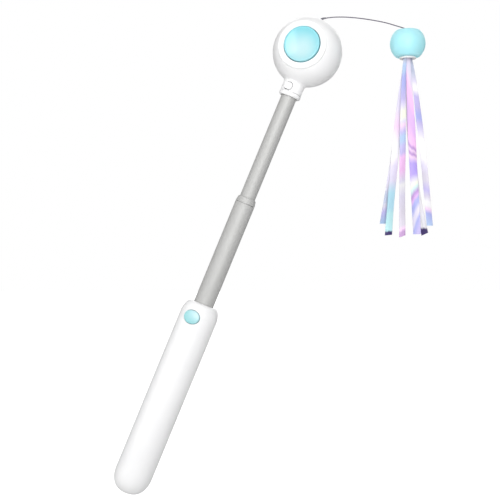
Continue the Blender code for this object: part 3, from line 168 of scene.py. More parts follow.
def add(tree, kind, settings=(), links=()):
    """Add a node, with settings on its inputs or properties, and links into its inputs.

    A link comes from a socket or from a node's first output. A list of them goes into one input.
    """
    made = tree.nodes.new(kind)
    for name, value in dict(settings).items():
        if isinstance(name, int) or name in made.inputs:
            made.inputs[name].default_value = value
        else:
            setattr(made, name, value)
    for name, sources in dict(links).items():
        for source in sources if isinstance(sources, list) else [sources]:
            source = source.outputs[0] if isinstance(source, bpy.types.Node) else source
            tree.links.new(source, made.inputs[name])
    return made


def shader(name, **sockets):
    """A new material: its tree, its surface with the sockets set, and the piece's own coordinates."""
    made = bpy.data.materials.new(name)
    made.use_nodes = True
    tree = made.node_tree
    tree.nodes.clear()
    surface = add(tree, "ShaderNodeBsdfPrincipled", {key.replace("_", " "): sockets[key] for key in sockets})
    add(tree, "ShaderNodeOutputMaterial", links={"Surface": surface})
    return made, tree, surface, add(tree, "ShaderNodeTexCoord").outputs["Object"]


def grained(parts, scale, rough, colours=(), detail=2.0, dent=(), lie=None):
    """A material whose roughness follows a noise, as its colour and its dents do where they are given."""
    made, tree, surface, place = parts
    noise = add(tree, "ShaderNodeTexNoise", {"Scale": scale, "Detail": detail},
                {"Vector": place if lie is None else lie})
    gloss = add(tree, "ShaderNodeMapRange", {"To Min": rough[0], "To Max": rough[1]}, {"Value": noise})
    tree.links.new(gloss.outputs[0], surface.inputs["Roughness"])
    if colours:
        deep, light = (linear(colour) for colour in colours)
        tint = add(tree, "ShaderNodeMix", {"data_type": "RGBA", 6: deep, 7: light}, {0: noise})
        tree.links.new(tint.outputs[2], surface.inputs["Base Color"])
    if dent:
        bump = add(tree, "ShaderNodeBump", {"Strength": dent[0], "Distance": dent[1]}, {"Height": noise})
        tree.links.new(bump.outputs[0], surface.inputs["Normal"])
    return made


def moulded(name, light, deep, roughness, ior, **more):
    """Plastic from a spark-eroded mould: an even colour with a faint flow in it, and a fine satin grain."""
    parts = shader(name, IOR=ior, Coat_Weight=0.10, Coat_Roughness=0.30, **more)
    _, tree, surface, place = parts
    # Flow marks of the moulding are about 20 mm apart
    flow = add(tree, "ShaderNodeTexNoise", {"Scale": 50.0, "Detail": 2.0}, {"Vector": place})
    tint = add(tree, "ShaderNodeMix", {"data_type": "RGBA", 6: linear(deep), 7: linear(light)}, {0: flow})
    tree.links.new(tint.outputs[2], surface.inputs["Base Color"])
    # The mould's grain is about 0.1 mm; it is drawn at 0.5 mm so that it shows as a soft gloss
    return grained(parts, 2000.0, (roughness - 0.05, roughness + 0.06), detail=1.0, dent=(0.10, 0.00004))


def piece(name, shape, material, body, slot, *replaced, place=wand, sharp=34):
    """A finished piece: its place goes into its mesh, and it rides on its body for the nodes it replaces."""
    mesh = shape
    if isinstance(shape, bmesh.types.BMesh):
        mesh = bpy.data.meshes.new(name)
        shape.to_mesh(mesh)
        shape.free()
    mesh.transform(place)
    mesh.name = name
    mesh.materials.clear()
    mesh.materials.append(material)
    mesh.shade_smooth()
    mesh.set_sharp_from_angle(angle=radians(sharp))
    made = bpy.data.objects.new(name, mesh)
    bpy.context.collection.objects.link(made)
    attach(made, body)
    if replaced:
        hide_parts(*replaced)
    return made


# White ABS: bright and even, with a soft satin shine along the curves
white_abs = moulded("white satin ABS", "#F6F6F6", "#F1F1F2", 0.36, 1.53)
bore = OUTER_TUBE + GAP
nose = bore + NOSE_WALL
bush_seat = bore + BUSH_WALL + GAP
shoulder = HANDLE_LENGTH - SHOULDER
half_x, half_y = HANDLE_WIDTH / 2, HANDLE_DEPTH / 2
in_x, in_y = half_x - HANDLE_WALL, half_y - HANDLE_WALL
inner_flat = BUTT_FLAT - HANDLE_WALL
handle_stations = [((0, 0, 0), (0, 0, HANDLE_WALL))]
for i in range(19):
    t = pi / 2 * i / 18
    handle_stations.append((
        (BUTT_FLAT + (half_x - BUTT_FLAT) * sin(t), BUTT_FLAT + (half_y - BUTT_FLAT) * sin(t),
         BUTT_HEIGHT * (1 - cos(t))),
        (inner_flat + (in_x - inner_flat) * sin(t), inner_flat + (in_y - inner_flat) * sin(t),
         BUTT_HEIGHT - (BUTT_HEIGHT - HANDLE_WALL) * cos(t))))
for i in range(1, 31):
    z = BUTT_HEIGHT + (shoulder - BUTT_HEIGHT) * i / 30
    handle_stations.append(((half_x, half_y, z), (in_x, in_y, z)))
for i in range(1, 19):
    t = pi / 2 * i / 18
    outside = (nose + (half_x - nose) * cos(t), nose + (half_y - nose) * cos(t), shoulder + SHOULDER * sin(t))
    z = min(outside[2], HANDLE_LENGTH - NOSE_DEPTH)
    share = sqrt(1 - ((z - shoulder) / SHOULDER) ** 2)
    handle_stations.append((outside, (nose - HANDLE_WALL + (half_x - nose) * share,
                                      nose - HANDLE_WALL + (half_y - nose) * share, z)))
# The mouth's softened edge, down to where the inside meets the outside in the bore
for out_r, out_z, in_r, in_z in (
        (bore + MOUTH_EDGE, 0, bush_seat, NOSE_DEPTH),
        (bore + MOUTH_EDGE / 3, MOUTH_EDGE * 0.3, bush_seat, NOSE_TOP),
        (bore, MOUTH_EDGE, bore, NOSE_TOP), (bore, 3 * MOUTH_EDGE, bore, 3 * MOUTH_EDGE)):
    handle_stations.append(((out_r, out_r, HANDLE_LENGTH - out_z), (in_r, in_r, HANDLE_LENGTH - in_z)))


def button_oval(bm, clearance=0):
    """A round mesh drawn down to the thumb button's oval, and set at the button's height."""
    share = (BUTTON_HALF_HEIGHT + clearance) / (BUTTON_RADIUS + clearance)
    move = Matrix.Translation((0, 0, BUTTON_HEIGHT)) @ Matrix.Diagonal((1, 1, share, 1))
    bmesh.ops.transform(bm, matrix=move, verts=bm.verts)
    return bm


hole = button_oval(rod(BUTTON_RADIUS + GAP, *BUTTON_HOLE, "FRONT"), GAP)
piece("handle_front", cut(half_shell(handle_stations, -1), hole), white_abs, "handle", "white_shell",
      "handle_front_shell")


def with_wells(shell, screws, seat, reach, rings, steps=64):
    """A rear shell with a moulded well for each screw, from the outside down to the screw's seat.

    The rings, as (half width, half depth, height), are the middle of the shell's wall.
    """
    turns = [2 * pi * i / steps for i in range(steps)]
    for x, z in screws:
        wall = bridged([[(a * cos(t), b * sin(t), height) for t in turns] for a, b, height in rings])
        well = rod(SCREW_HEAD + GAP + BOSS_WALL, -reach, BOSS_WALL - seat, "FRONT", (x, 0, z), 40)
        shell = cut(shell, cut(well, wall, operation="INTERSECT"), operation="UNION")
        shell = cut(shell, rod(SCREW_HEAD + GAP, -reach, -seat, "FRONT", (x, 0, z), 40))
    return shell


middle = [(a - HANDLE_WALL / 2, b - HANDLE_WALL / 2, z) for (a, b, z), _ in handle_stations[3:-6]]
rear = with_wells(half_shell(handle_stations, 1), HANDLE_SCREWS, HANDLE_SCREW_SEAT, HANDLE_DEPTH, middle)
piece("handle_rear", rear, white_abs, "handle", "white_shell", "handle_rear_shell")

# Release button: a domed thumb button moulded in pale turquoise ABS. It sits proud in the front half's
# oval hole and is pushed straight in against the lock lever.
DOME_RISE, DOME_CROWN, BUTTON_EDGE = 0.0011, 0.0165, 0.00072
SKIRT_BACK, HOLLOW, HOLLOW_TOP, HOLLOW_PEAK = 0.0114, 0.0044, 0.0142, 0.0149
LEVER_CHANNEL, CHANNEL_MIDDLE = (0.0066, 0.0040, 0.0140), 0.0112
NUB, NUB_BACK, NUB_TOP = 0.0008, 0.01235, 0.0152


def painted_light_turquoise(name, middle, near, far, pale, deep, rough, **more):
    """Turquoise ABS that is painted palest round one point, as a painted highlight, and deeper further out,
    as painted shade.
    """
    parts = shader(name, IOR=1.53, **more)
    _, tree, surface, place = parts
    centred = add(tree, "ShaderNodeMapping", {"vector_type": "POINT", "Location": -middle}, {0: place})
    reach = add(tree, "ShaderNodeVectorMath", {"operation": "LENGTH"}, {0: centred})
    share = add(tree, "ShaderNodeMapRange",
                {"interpolation_type": "SMOOTHSTEP", "From Min": near, "From Max": far},
                {"Value": reach.outputs["Value"]})
    tint = add(tree, "ShaderNodeMix", {"data_type": "RGBA", 6: linear(pale), 7: linear(deep)}, {0: share})
    tree.links.new(tint.outputs[2], surface.inputs["Base Color"])
    return grained(parts, 1500.0, rough, detail=1.0)


def arc(radius, first, last, steps, across=0, up=0):
    """A profile's points on a circle about (across, up), evenly from one angle to another."""
    turns = [first + (last - first) * i / steps for i in range(steps + 1)]
    return [(across + radius * cos(t), up + radius * sin(t)) for t in turns]


def block(centre, size):
    """A plain box."""
    bm = bmesh.new()
    bmesh.ops.create_cube(bm, size=1, matrix=Matrix.Translation(centre) @ Matrix.Diagonal((*size, 1)))
    return bm


# Satin turquoise ABS: pale and slightly milky, with a painted highlight that makes it lighter towards the
# upper right of the button
turquoise_abs = painted_light_turquoise("pale turquoise ABS with painted highlight", wand @ Vector((0.0032, -DOME_CROWN, BUTTON_HEIGHT + 0.0045)),
                       0.0015, 0.0105, "#BDE1E7", "#99D8DC", (0.28, 0.39), Coat_Weight=0.10,
                       Coat_Roughness=0.30)
dome_span = BUTTON_RADIUS - BUTTON_EDGE
dome_ball = (dome_span ** 2 + DOME_RISE ** 2) / (2 * DOME_RISE)
slope = asin(dome_span / dome_ball)
meets = dome_span + BUTTON_EDGE * sin(slope)
edge_up = DOME_CROWN - dome_ball + sqrt(dome_ball ** 2 - meets ** 2) - BUTTON_EDGE * cos(slope)
cap = [(0, HOLLOW_PEAK), (HOLLOW, HOLLOW_TOP), (HOLLOW, SKIRT_BACK), (BUTTON_RADIUS, SKIRT_BACK)]
cap += arc(BUTTON_EDGE, 0, pi / 2 - slope, 6, dome_span, edge_up)
cap += [(r, DOME_CROWN - dome_ball + sqrt(dome_ball ** 2 - r ** 2))
        for r in (meets * (1 - i / 14) for i in range(1, 15))]
# Underneath, a channel clears the lever and a short nub pushes it
channel = block((0, -CHANNEL_MIDDLE, BUTTON_HEIGHT), LEVER_CHANNEL)
nub = rod(NUB, NUB_BACK, NUB_TOP, "FRONT", (0, 0, BUTTON_HEIGHT), 24)
button = cut(cut(button_oval(turned(cap, 72, "FRONT")), channel), nub, operation="UNION")
piece("thumb_button", button, turquoise_abs, "release_button", "turquoise_shell", "release_button")

# Screws: zinc-plated steel self-tappers with a pan head and a cross recess, driven from the rear into
# the handle's bosses. One tree makes a screw and sets it at each place.
SCREW_SIZES = {"Head Radius": SCREW_HEAD, "Head Height": 0.0014, "Shank Radius": 0.0009, "Length": 0.0150,
               "Recess": 0.0011}
CROWN, RECESS_LONG, RECESS_WIDE, RECESS_DEPTH, RECESS_LEVEL = 0.36, 2.0, 0.42, 0.0016, 0.0014


def sockets(tree, **kinds):
    """A tree's named inputs, its geometry output, and the node that gives the inputs."""
    for key, kind in kinds.items():
        tree.interface.new_socket(key.replace("_", " "), in_out="INPUT", socket_type="NodeSocket" + kind)
    tree.interface.new_socket("Geometry", in_out="OUTPUT", socket_type="NodeSocketGeometry")
    return add(tree, "NodeGroupInput").outputs


def ended(tree, shape, finish):
    """End a tree: its instances are made real and given their material."""
    real = add(tree, "GeometryNodeRealizeInstances", links={"Geometry": shape})
    dressed = add(tree, "GeometryNodeSetMaterial", links={"Geometry": real, "Material": finish})
    add(tree, "NodeGroupOutput", links={0: dressed})


def follow(points, joined=True):
    """A mesh of points, in a line of edges or loose, for a tree that sweeps along it or sets pieces on it."""
    mesh = bpy.data.meshes.new("line")
    edges = [(i, i + 1) for i in range(len(points) - 1)] if joined else []
    mesh.from_pydata([tuple(point) for point in points], edges, [])
    return mesh


def grow(tree, mesh, values):
    """The plain mesh that a tree makes on a mesh, with each named input set by its identifier."""
    holder = bpy.data.objects.new("blank", mesh)
    bpy.context.collection.objects.link(holder)
    step = holder.modifiers.new("grow", "NODES")
    step.node_group = tree
    for item in tree.interface.items_tree:
        if item.in_out == "INPUT" and item.name in values:
            step[item.identifier] = values[item.name]
    bpy.context.view_layer.update()
    seen = holder.evaluated_get(bpy.context.evaluated_depsgraph_get())
    made = bpy.data.meshes.new_from_object(seen)
    bpy.data.objects.remove(holder, do_unlink=True)
    return made


# Bright zinc plate: a clear silver shine with fine, uneven grain from the bath
zinc = grained(shader("bright zinc plate", Metallic=1.0, Base_Color=linear("#C9CACC")), 900.0, (0.22, 0.40),
               detail=3.0)
screw_tree = tree = bpy.data.node_groups.new("screws", "GeometryNodeTree")
given = sockets(tree, Geometry="Geometry", Finish="Material", **dict.fromkeys(SCREW_SIZES, "Float"))
barrel = add(tree, "GeometryNodeMeshCylinder", {"Vertices": 40},
             {"Radius": given["Head Radius"], "Depth": given["Head Height"]})
crown = add(tree, "GeometryNodeMeshUVSphere", {"Segments": 40, "Rings": 24}, {"Radius": given["Head Radius"]})
flatter = add(tree, "GeometryNodeTransform", {"Scale": (1.0, 1.0, CROWN)}, {"Geometry": crown})
half_head = add(tree, "ShaderNodeMath", {"operation": "MULTIPLY", 1: 0.5}, {0: given["Head Height"]})
to_top = add(tree, "ShaderNodeCombineXYZ", links={"Z": half_head})
dome = add(tree, "GeometryNodeTransform", links={"Geometry": flatter, "Translation": to_top})
pan = add(tree, "GeometryNodeMeshBoolean", {"operation": "UNION", "solver": "EXACT"}, {1: [barrel, dome]})
# The cross recess is two crossed bars, sunk in from the crown
arm, blade = (add(tree, "ShaderNodeMath", {"operation": "MULTIPLY", 1: share}, {0: given["Recess"]})
              for share in (RECESS_LONG, RECESS_WIDE))
bars = []
for across, along in ((arm, blade), (blade, arm)):
    size = add(tree, "ShaderNodeCombineXYZ", {"Z": RECESS_DEPTH}, {"X": across, "Y": along})
    bar = add(tree, "GeometryNodeMeshCube", links={"Size": size})
    bars.append(add(tree, "GeometryNodeTransform", {"Translation": (0.0, 0.0, RECESS_LEVEL)},
                    {"Geometry": bar}))
driven = add(tree, "GeometryNodeMeshBoolean", {"operation": "DIFFERENCE", "solver": "EXACT"},
             {0: pan, 1: bars})
shank = add(tree, "GeometryNodeMeshCylinder", {"Vertices": 20},
            {"Radius": given["Shank Radius"], "Depth": given["Length"]})
half_length = add(tree, "ShaderNodeMath", {"operation": "MULTIPLY", 1: -0.5}, {0: given["Length"]})
below = add(tree, "ShaderNodeCombineXYZ", links={"Z": half_length})
down = add(tree, "GeometryNodeTransform", links={"Geometry": shank, "Translation": below})
whole = add(tree, "GeometryNodeJoinGeometry", links={0: [driven, down]})
# The screw is made head up; it is laid so that its head faces the rear
laid = add(tree, "GeometryNodeTransform", {"Rotation": (-pi / 2, 0.0, 0.0)}, {"Geometry": whole})
spots = add(tree, "GeometryNodeInstanceOnPoints", links={"Points": given["Geometry"], "Instance": laid})
ended(tree, spots, given["Finish"])


def set_screws(name, body, screws, seat, place=wand):
    """A screw at each of the places, with its head on the seat."""
    depth = seat + GAP + SCREW_SIZES["Head Height"] / 2
    spots = follow([(x, depth, z) for x, z in screws], False)
    mesh = grow(screw_tree, spots, {**SCREW_SIZES, "Finish": zinc})
    nodes = [f"{name[:-1]}_{i + 1}" for i in range(len(screws))]
    piece(name, mesh, zinc, body, "plated_steel", *nodes, place=place)


set_screws("handle_screws", "handle", HANDLE_SCREWS, HANDLE_SCREW_SEAT)

# Rod lock, inside the handle: an acetal lever on a steel pin, with a rubber pad that grips the rod, a
# torsion spring, and the acetal bush that the rod slides through. They keep their own meshes.


def dress(material, *nodes):
    """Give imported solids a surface."""
    for node in nodes:
        for slot in bpy.data.objects[node].material_slots:
            slot.material = material


# Natural acetal: waxy off-white with a low, cloudy shine
acetal = grained(shader("natural white acetal", IOR=1.48, Subsurface_Weight=0.05, Subsurface_Scale=0.001),
                 120.0, (0.42, 0.58), ("#E4E4DF", "#EEEEEA"))
# Moulded rubber: near black and dull, with a dusty grain
rubber = grained(shader("black moulded rubber", IOR=1.52), 700.0, (0.60, 0.85), ("#303035", "#44444B"),
                 detail=4.0)
dress(acetal, "rod_guide_bush", "lock_lever")
dress(rubber, "brake_pad")
dress(zinc, "lever_pin", "lever_spring")

# Telescopic rod: two drawn tubes in light grey satin lacquer. The outer one ends in a pressed-in collar
# with a short taper, and both slide on acetal feet, the inner one with a rubber drag ring.
OUTER_BOTTOM, OUTER_TOP, OUTER_WALL = 0.111, 0.232, 0.0005
INNER_TUBE, INNER_BOTTOM, INNER_TOP, INNER_WALL = 0.0059, 0.212, 0.3333, 0.00055
COLLAR_TOP, COLLAR_BOTTOM, COLLAR_BORE = 0.2365, INNER_BOTTOM + 0.0001, INNER_TUBE + 0.0002
COLLAR_GROOVE, COLLAR_BAND, COLLAR_LIP, COLLAR_TAPER = 0.00035, 0.0007, 0.0005, 0.0010
SNAP_HEIGHT, SNAP_TURN = 0.3249, Matrix.Rotation(radians(-10), 4, "Z")
SNAP_HOLE_REACH = 0.010
PAD_WIDTH, PAD_HEIGHT, PAD_CORNER = 0.0060, 0.0050, 0.0016


def rounded(corners, steps=4):
    """A profile's points, from corners of (radius, height) or (radius, height, rounding)."""
    points = []
    for i, corner in enumerate(corners):
        here = Vector(corner[:2])
        if len(corner) == 2:
            points.append(tuple(here))
            continue
        back = (Vector(corners[i - 1][:2]) - here).normalized()
        on = (Vector(corners[(i + 1) % len(corners)][:2]) - here).normalized()
        half = back.angle(on) / 2
        centre = here + (back + on).normalized() * corner[2] / sin(half)
        reach = corner[2] * cos(half) / sin(half)
        first, last = here + back * reach - centre, here + on * reach - centre
        for k in range(steps + 1):
            points.append(tuple(centre + first.lerp(last, k / steps).normalized() * corner[2]))
    return points


def pad_form(layers, height, grow_by=0, corner=PAD_CORNER):
    """A closed rounded pad towards the front, at the latch's turn, through layers of (share, depth)."""
    half_w, half_h, round_by = PAD_WIDTH / 2 + grow_by, PAD_HEIGHT / 2 + grow_by, corner + grow_by
    outline = []
    for x, z, start in ((1, 1, 0), (-1, 1, 90), (-1, -1, 180), (1, -1, 270)):
        for t in (radians(start + 90 * k / 8) for k in range(9)):
            outline.append((x * (half_w - round_by) + round_by * cos(t),
                            z * (half_h - round_by) + round_by * sin(t)))
    return bridged([[(x * share, -depth, z * share) for x, z in outline] for share, depth in layers],
                   place=Matrix.Translation((0, 0, height)) @ SNAP_TURN)


# Satin lacquer on drawn tube: a soft metal shine, with faint long lines from the drawing die. The
# coordinates are turned to the tube's own length, and then squeezed along it
parts = shader("light grey satin lacquer on tube", Metallic=0.28, IOR=1.5)
_, tree, _, place = parts
along = add(tree, "ShaderNodeMapping", {"vector_type": "TEXTURE", "Rotation": upright.to_euler()}, {0: place})
squeezed = add(tree, "ShaderNodeMapping", {"Scale": (1.0, 1.0, 0.01)}, {0: along})
# Die lines are about 0.05 mm apart; they are drawn at 0.4 mm so that they show at all
grey_lacquer = grained(parts, 2500.0, (0.56, 0.66), ("#B7B7B6", "#C1C1BF"), dent=(0.05, 0.00002),
                       lie=squeezed)
outer_bore = OUTER_TUBE - OUTER_WALL
inner_bore = INNER_TUBE - INNER_WALL
tube_end = OUTER_TOP - COLLAR_GROOVE
tube = turned(rounded([(outer_bore, OUTER_BOTTOM), (OUTER_TUBE, OUTER_BOTTOM, 0.00015),
                       (OUTER_TUBE, tube_end, 0.00012), (outer_bore, tube_end)]))
piece("outer_tube_skin", tube, grey_lacquer, "outer_rod", "grey_tube", "outer_tube")
collar = turned(rounded([
    (COLLAR_BORE, COLLAR_BOTTOM), (outer_bore - GAP, COLLAR_BOTTOM), (outer_bore - GAP, OUTER_TOP),
    (OUTER_TUBE, OUTER_TOP, 0.0001), (OUTER_TUBE, OUTER_TOP + COLLAR_BAND, 0.0004),
    (OUTER_TUBE - 0.0006, COLLAR_TOP - COLLAR_LIP, 0.0004), (OUTER_TUBE - COLLAR_TAPER, COLLAR_TOP, 0.0002),
    (COLLAR_BORE, COLLAR_TOP, 0.00015)]))
piece("tube_collar", collar, grey_lacquer, "outer_rod", "grey_tube", "outer_tube_collar")
inner = turned(rounded([(inner_bore, INNER_BOTTOM), (INNER_TUBE, INNER_BOTTOM, 0.0001),
                        (INNER_TUBE, INNER_TOP, 0.0001), (inner_bore, INNER_TOP)]))
inner = cut(inner, pad_form([(1, INNER_TUBE / 2), (1, SNAP_HOLE_REACH)], SNAP_HEIGHT, GAP))
piece("inner_tube_skin", inner, grey_lacquer, "head_rod", "grey_tube", "inner_tube")
dress(acetal, "outer_tube_foot", "inner_tube_foot", "inner_tube_plug")
dress(rubber, "inner_drag_ring")

# Snap latch: a small white pad in the neck, pushed out by a bent steel leaf inside the tube. It stands
# in an arched hollow of the neck and holds the head on the rod.
PAD_FLANGE, FLANGE_LOW, FLANGE_HIGH, PAD_FOOT = 1.07, 0.0042, 0.0046, 0.0048
PAD_FACE, PAD_CROWN, PAD_SOFT, FACE_SHARE = 0.00895, 0.00022, 0.00038, 0.90
LATCH_PUSH, LATCH_TRAVEL = (0.41974, 0.89100, -0.17300), 0.0028


def spring(name, node, push):
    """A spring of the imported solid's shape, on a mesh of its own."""
    packed = bpy.data.objects[node]
    shape = bmesh.new()
    shape.from_mesh(packed.data)
    bmesh.ops.remove_doubles(shape, verts=shape.verts, dist=1e-6)
    made = piece(name, shape, zinc, "head_rod", "plated_steel", node, place=packed.matrix_world)
    push = Vector(push).normalized()
    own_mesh(made)


# Layers from the flange inside the tube, over the pad's softened edge, to its crowned face
edge = PAD_FACE - PAD_CROWN - PAD_SOFT
layers = [(PAD_FLANGE, FLANGE_LOW), (PAD_FLANGE, FLANGE_HIGH), (1.0, PAD_FOOT), (1.0, edge)]
layers += [(1 - (1 - FACE_SHARE) * (1 - cos(t)), edge + PAD_SOFT * sin(t))
           for t in (radians(a) for a in (15, 35, 55, 75, 90))]
layers += [(FACE_SHARE * s, PAD_FACE - PAD_CROWN * s * s) for s in (0.85, 0.6, 0.3)]
piece("latch_pad", pad_form(layers, SNAP_HEIGHT), white_abs, "snap_button", "white_shell", "snap_button")
spring("latch_spring", "snap_spring", LATCH_PUSH)

# Head shells: a ball with a short neck in two white ABS halves, split front and rear and clamped round
# the chassis by four screws from the rear. The front half is cut flat for the raised ring.
BALL_HEIGHT, BALL, BALL_WALL = 0.3545, 0.0260, 0.0020
NECK, NECK_FILLET, NECK_REACH, NECK_END = 0.00815, 0.0030, 0.0363, -0.03565
COLLAR_SHELF, COLLAR_SEAT = -0.0331, 0.0072
SOCKET_BORE, SOCKET_FLOOR, FLOOR_WALL = 0.0062, -0.0198, 0.0013
POLE_HOLE, POLE_LIP, POLE_EDGE, POLE_TURN = 0.0030, 0.0010, 0.0002, 0.12
SEAT_DEPTH, SEAT_RISE, OPENING, OPENING_BACK = 0.018064, 0.0002, 0.0144, 0.005
SEAT_IN, SEAT_BACK, SEAT_FRONT = OPENING - 0.001, OPENING + 0.0042, OPENING + 0.0030
ARCH, ARCH_CORNER, ARCH_DEPTH, ARCH_LIFT = 0.00085, 0.0022, 0.00045, 0.00015
LATCH_GAP, LATCH_REACH = 0.00055, 0.014
HEAD_SCREWS, HEAD_SCREW_SEAT = [(x * 0.0165, z * 0.0105) for x in (-1, 1) for z in (-1, 1)], 0.0100
PORT_WIDTH, PORT_HEIGHT, PORT_LEVEL, PORT_MOUTH = 0.0089, 0.0032, -0.0105, 0.02277
PORT_CUT = (0.010, 0.032)
head = wand @ Matrix.Translation((0, 0, BALL_HEIGHT))
inner_ball = BALL - BALL_WALL
pole = sqrt(BALL ** 2 - POLE_HOLE ** 2)
fillet_r = NECK + NECK_FILLET
fillet_z = -sqrt((BALL + NECK_FILLET) ** 2 - fillet_r ** 2)
leaves = asin(-fillet_z / (BALL + NECK_FILLET))
# The outside runs from the pole's hole over the ball and its fillet to the neck's end
outside = [(POLE_HOLE, pole - POLE_LIP), (POLE_HOLE, pole - POLE_EDGE), (POLE_HOLE + 0.00015, pole - 0.00003)]
ball_arc = arc(BALL, pi / 2 - POLE_TURN, -leaves, 44)
outside += ball_arc
outside += arc(NECK_FILLET, pi - leaves, pi, 10, fillet_r, fillet_z)[1:]
outside += [(NECK, COLLAR_SHELF + 0.0002), (NECK - 0.0002, COLLAR_SHELF), (COLLAR_SEAT, COLLAR_SHELF),
            (COLLAR_SEAT, NECK_END), (SOCKET_BORE, NECK_END)]
inside = [(POLE_HOLE, pole - POLE_LIP), (POLE_HOLE, inner_ball - POLE_EDGE / 2),
          (POLE_HOLE, inner_ball - POLE_EDGE)]
floor_top = SOCKET_FLOOR + FLOOR_WALL
# The inner ball keeps to the outer one's angles, from just off the pole to the socket's floor
highest, lowest = pi / 2 - POLE_TURN - 0.01, -asin(-floor_top / inner_ball)
for x, z in ball_arc:
    t = max(min(atan2(z, x), highest), lowest)
    inside.append((inner_ball * cos(t), inner_ball * sin(t)))
inside += [(0, floor_top)] * 3 + [(0, SOCKET_FLOOR)] * 3 + [(SOCKET_BORE, SOCKET_FLOOR)] * 4
inside += [(SOCKET_BORE, z) for z in (COLLAR_SHELF + 0.002, COLLAR_SHELF + 0.001, COLLAR_SHELF,
                                      NECK_END + 0.0003, NECK_END)]
head_stations = [((a, a, z), (b, b, y)) for (a, z), (b, y) in zip(outside, inside)]
front = half_shell(head_stations, -1, 64)
flange = turned([(SEAT_IN, SEAT_DEPTH - BALL_WALL), (SEAT_BACK, SEAT_DEPTH - BALL_WALL),
                 (SEAT_FRONT, SEAT_DEPTH + SEAT_RISE), (SEAT_IN, SEAT_DEPTH + SEAT_RISE)], along="FRONT")
front = cut(front, flange, operation="UNION")
front = cut(front, rod(BALL, SEAT_DEPTH, 2 * BALL, "FRONT"),
            rod(OPENING, OPENING_BACK, 2 * BALL, "FRONT", steps=96))
latch_drop = SNAP_HEIGHT - BALL_HEIGHT
arch = pad_form([(1, NECK - ARCH_DEPTH), (1, LATCH_REACH)], latch_drop + ARCH_LIFT, ARCH, ARCH_CORNER)
front = cut(front, arch, pad_form([(1, INNER_TUBE / 2), (1, LATCH_REACH)], latch_drop, LATCH_GAP))
piece("head_front", front, white_abs, "head_rod", "white_shell", "head_front_shell", place=head)


def port_form(grow_by, near, far):
    """A closed round-ended slot along the depth, for the charging port; near and far are rearward."""
    half_w, half_h = PORT_WIDTH / 2 + grow_by, PORT_HEIGHT / 2 + grow_by
    outline = [(side * (half_w - half_h) + half_h * cos(t), half_h * sin(t)) for side in (1, -1)
               for t in ((2 - side) * pi / 2 - pi * k / 16 for k in range(17))]
    return bridged([[(x, depth, z + PORT_LEVEL) for x, z in outline] for depth in (near, far)])


between = BALL - BALL_WALL / 2
middle = [(r, r, z) for r, z in arc(between, radians(-84), radians(84), 28)]
rear = with_wells(half_shell(head_stations, 1, 64), HEAD_SCREWS, HEAD_SCREW_SEAT, BALL, middle)
piece("head_rear", cut(rear, port_form(GAP, *PORT_CUT)), white_abs, "head_rod", "white_shell",
      "head_rear_shell", place=head)
set_screws("head_screws", "head_rod", HEAD_SCREWS, HEAD_SCREW_SEAT, head)

# Neck collar: a white ABS ring pressed over the lower end of both halves, so that it holds them together
# there. It is rounded in under the neck.
RING_LIP, RING_TOP, RING_BORE = 0.00015, COLLAR_SHELF - 0.0003, COLLAR_SEAT + 0.0002
ring = turned(rounded([
    (RING_BORE, RING_TOP), (NECK + RING_LIP, RING_TOP, 0.0003),
    (NECK + RING_LIP, -NECK_REACH + 0.0009, 0.0009), (NECK - 0.0006, -NECK_REACH, 0.0004),
    (SOCKET_BORE, -NECK_REACH, 0.0002), (SOCKET_BORE, NECK_END - GAP), (RING_BORE, NECK_END - GAP)]))
piece("neck_ring", ring, white_abs, "head_rod", "white_shell", "neck_collar", place=head)

# Raised ring: a white ABS ring pressed into the ball's flat, with a softened outer edge and a fine step
# inside it that leaves a dark gap round the button
BEZEL, BEZEL_TOP, BEZEL_BORE, BEZEL_STEP, STEP_DROP = 0.0184, 0.019964, 0.0138, 0.01495, 0.00055
bezel = turned(rounded([
    (OPENING - GAP, SEAT_DEPTH - BALL_WALL), (OPENING - GAP, SEAT_DEPTH + SEAT_RISE),
    (BEZEL, SEAT_DEPTH + SEAT_RISE, 0.0002), (BEZEL, BEZEL_TOP, 0.0015), (BEZEL_STEP, BEZEL_TOP, 0.0004),
    (BEZEL_STEP - 0.0001, BEZEL_TOP - STEP_DROP, 0.0001), (BEZEL_BORE, BEZEL_TOP - STEP_DROP, 0.00015),
    (BEZEL_BORE, SEAT_DEPTH - BALL_WALL)], 6), 128, "FRONT")
piece("raised_ring", bezel, white_abs, "head_rod", "white_shell", "bezel_ring", place=head)

# Head button: a big shallow dish moulded in turquoise ABS on a skirt. It moves in the raised ring against
# a coil spring and presses a switch on the board behind it.
DISH, DISH_RIM, DISH_DEPTH, DISH_WALL, RIM_ROUND = 0.0132, 0.020964, 0.0014, 0.0016, 0.0006
DISH_FLANGE, FLANGE_FRONT, FLANGE_BACK = DISH + 0.0006, 0.015464, 0.014664
PEG, PEG_BACK = 0.0014, 0.0130
bowl = DISH - 2 * RIM_ROUND
bowl_radius = (bowl ** 2 + DISH_DEPTH ** 2) / (2 * DISH_DEPTH)
dish = [(0, DISH_RIM - DISH_DEPTH)]
dish += [(r, DISH_RIM - DISH_DEPTH + bowl_radius - sqrt(bowl_radius ** 2 - r ** 2))
         for r in (bowl * i / 24 for i in range(1, 25))]
dish += arc(RIM_ROUND, radians(110), 0, 10, DISH - RIM_ROUND, DISH_RIM - RIM_ROUND)
plate_back = DISH_RIM - DISH_DEPTH - DISH_WALL
dish += [(DISH, FLANGE_FRONT), (DISH_FLANGE, FLANGE_FRONT), (DISH_FLANGE, FLANGE_BACK),
         (DISH - DISH_WALL, FLANGE_BACK), (DISH - DISH_WALL, plate_back), (PEG, plate_back), (PEG, PEG_BACK),
         (0, PEG_BACK)]
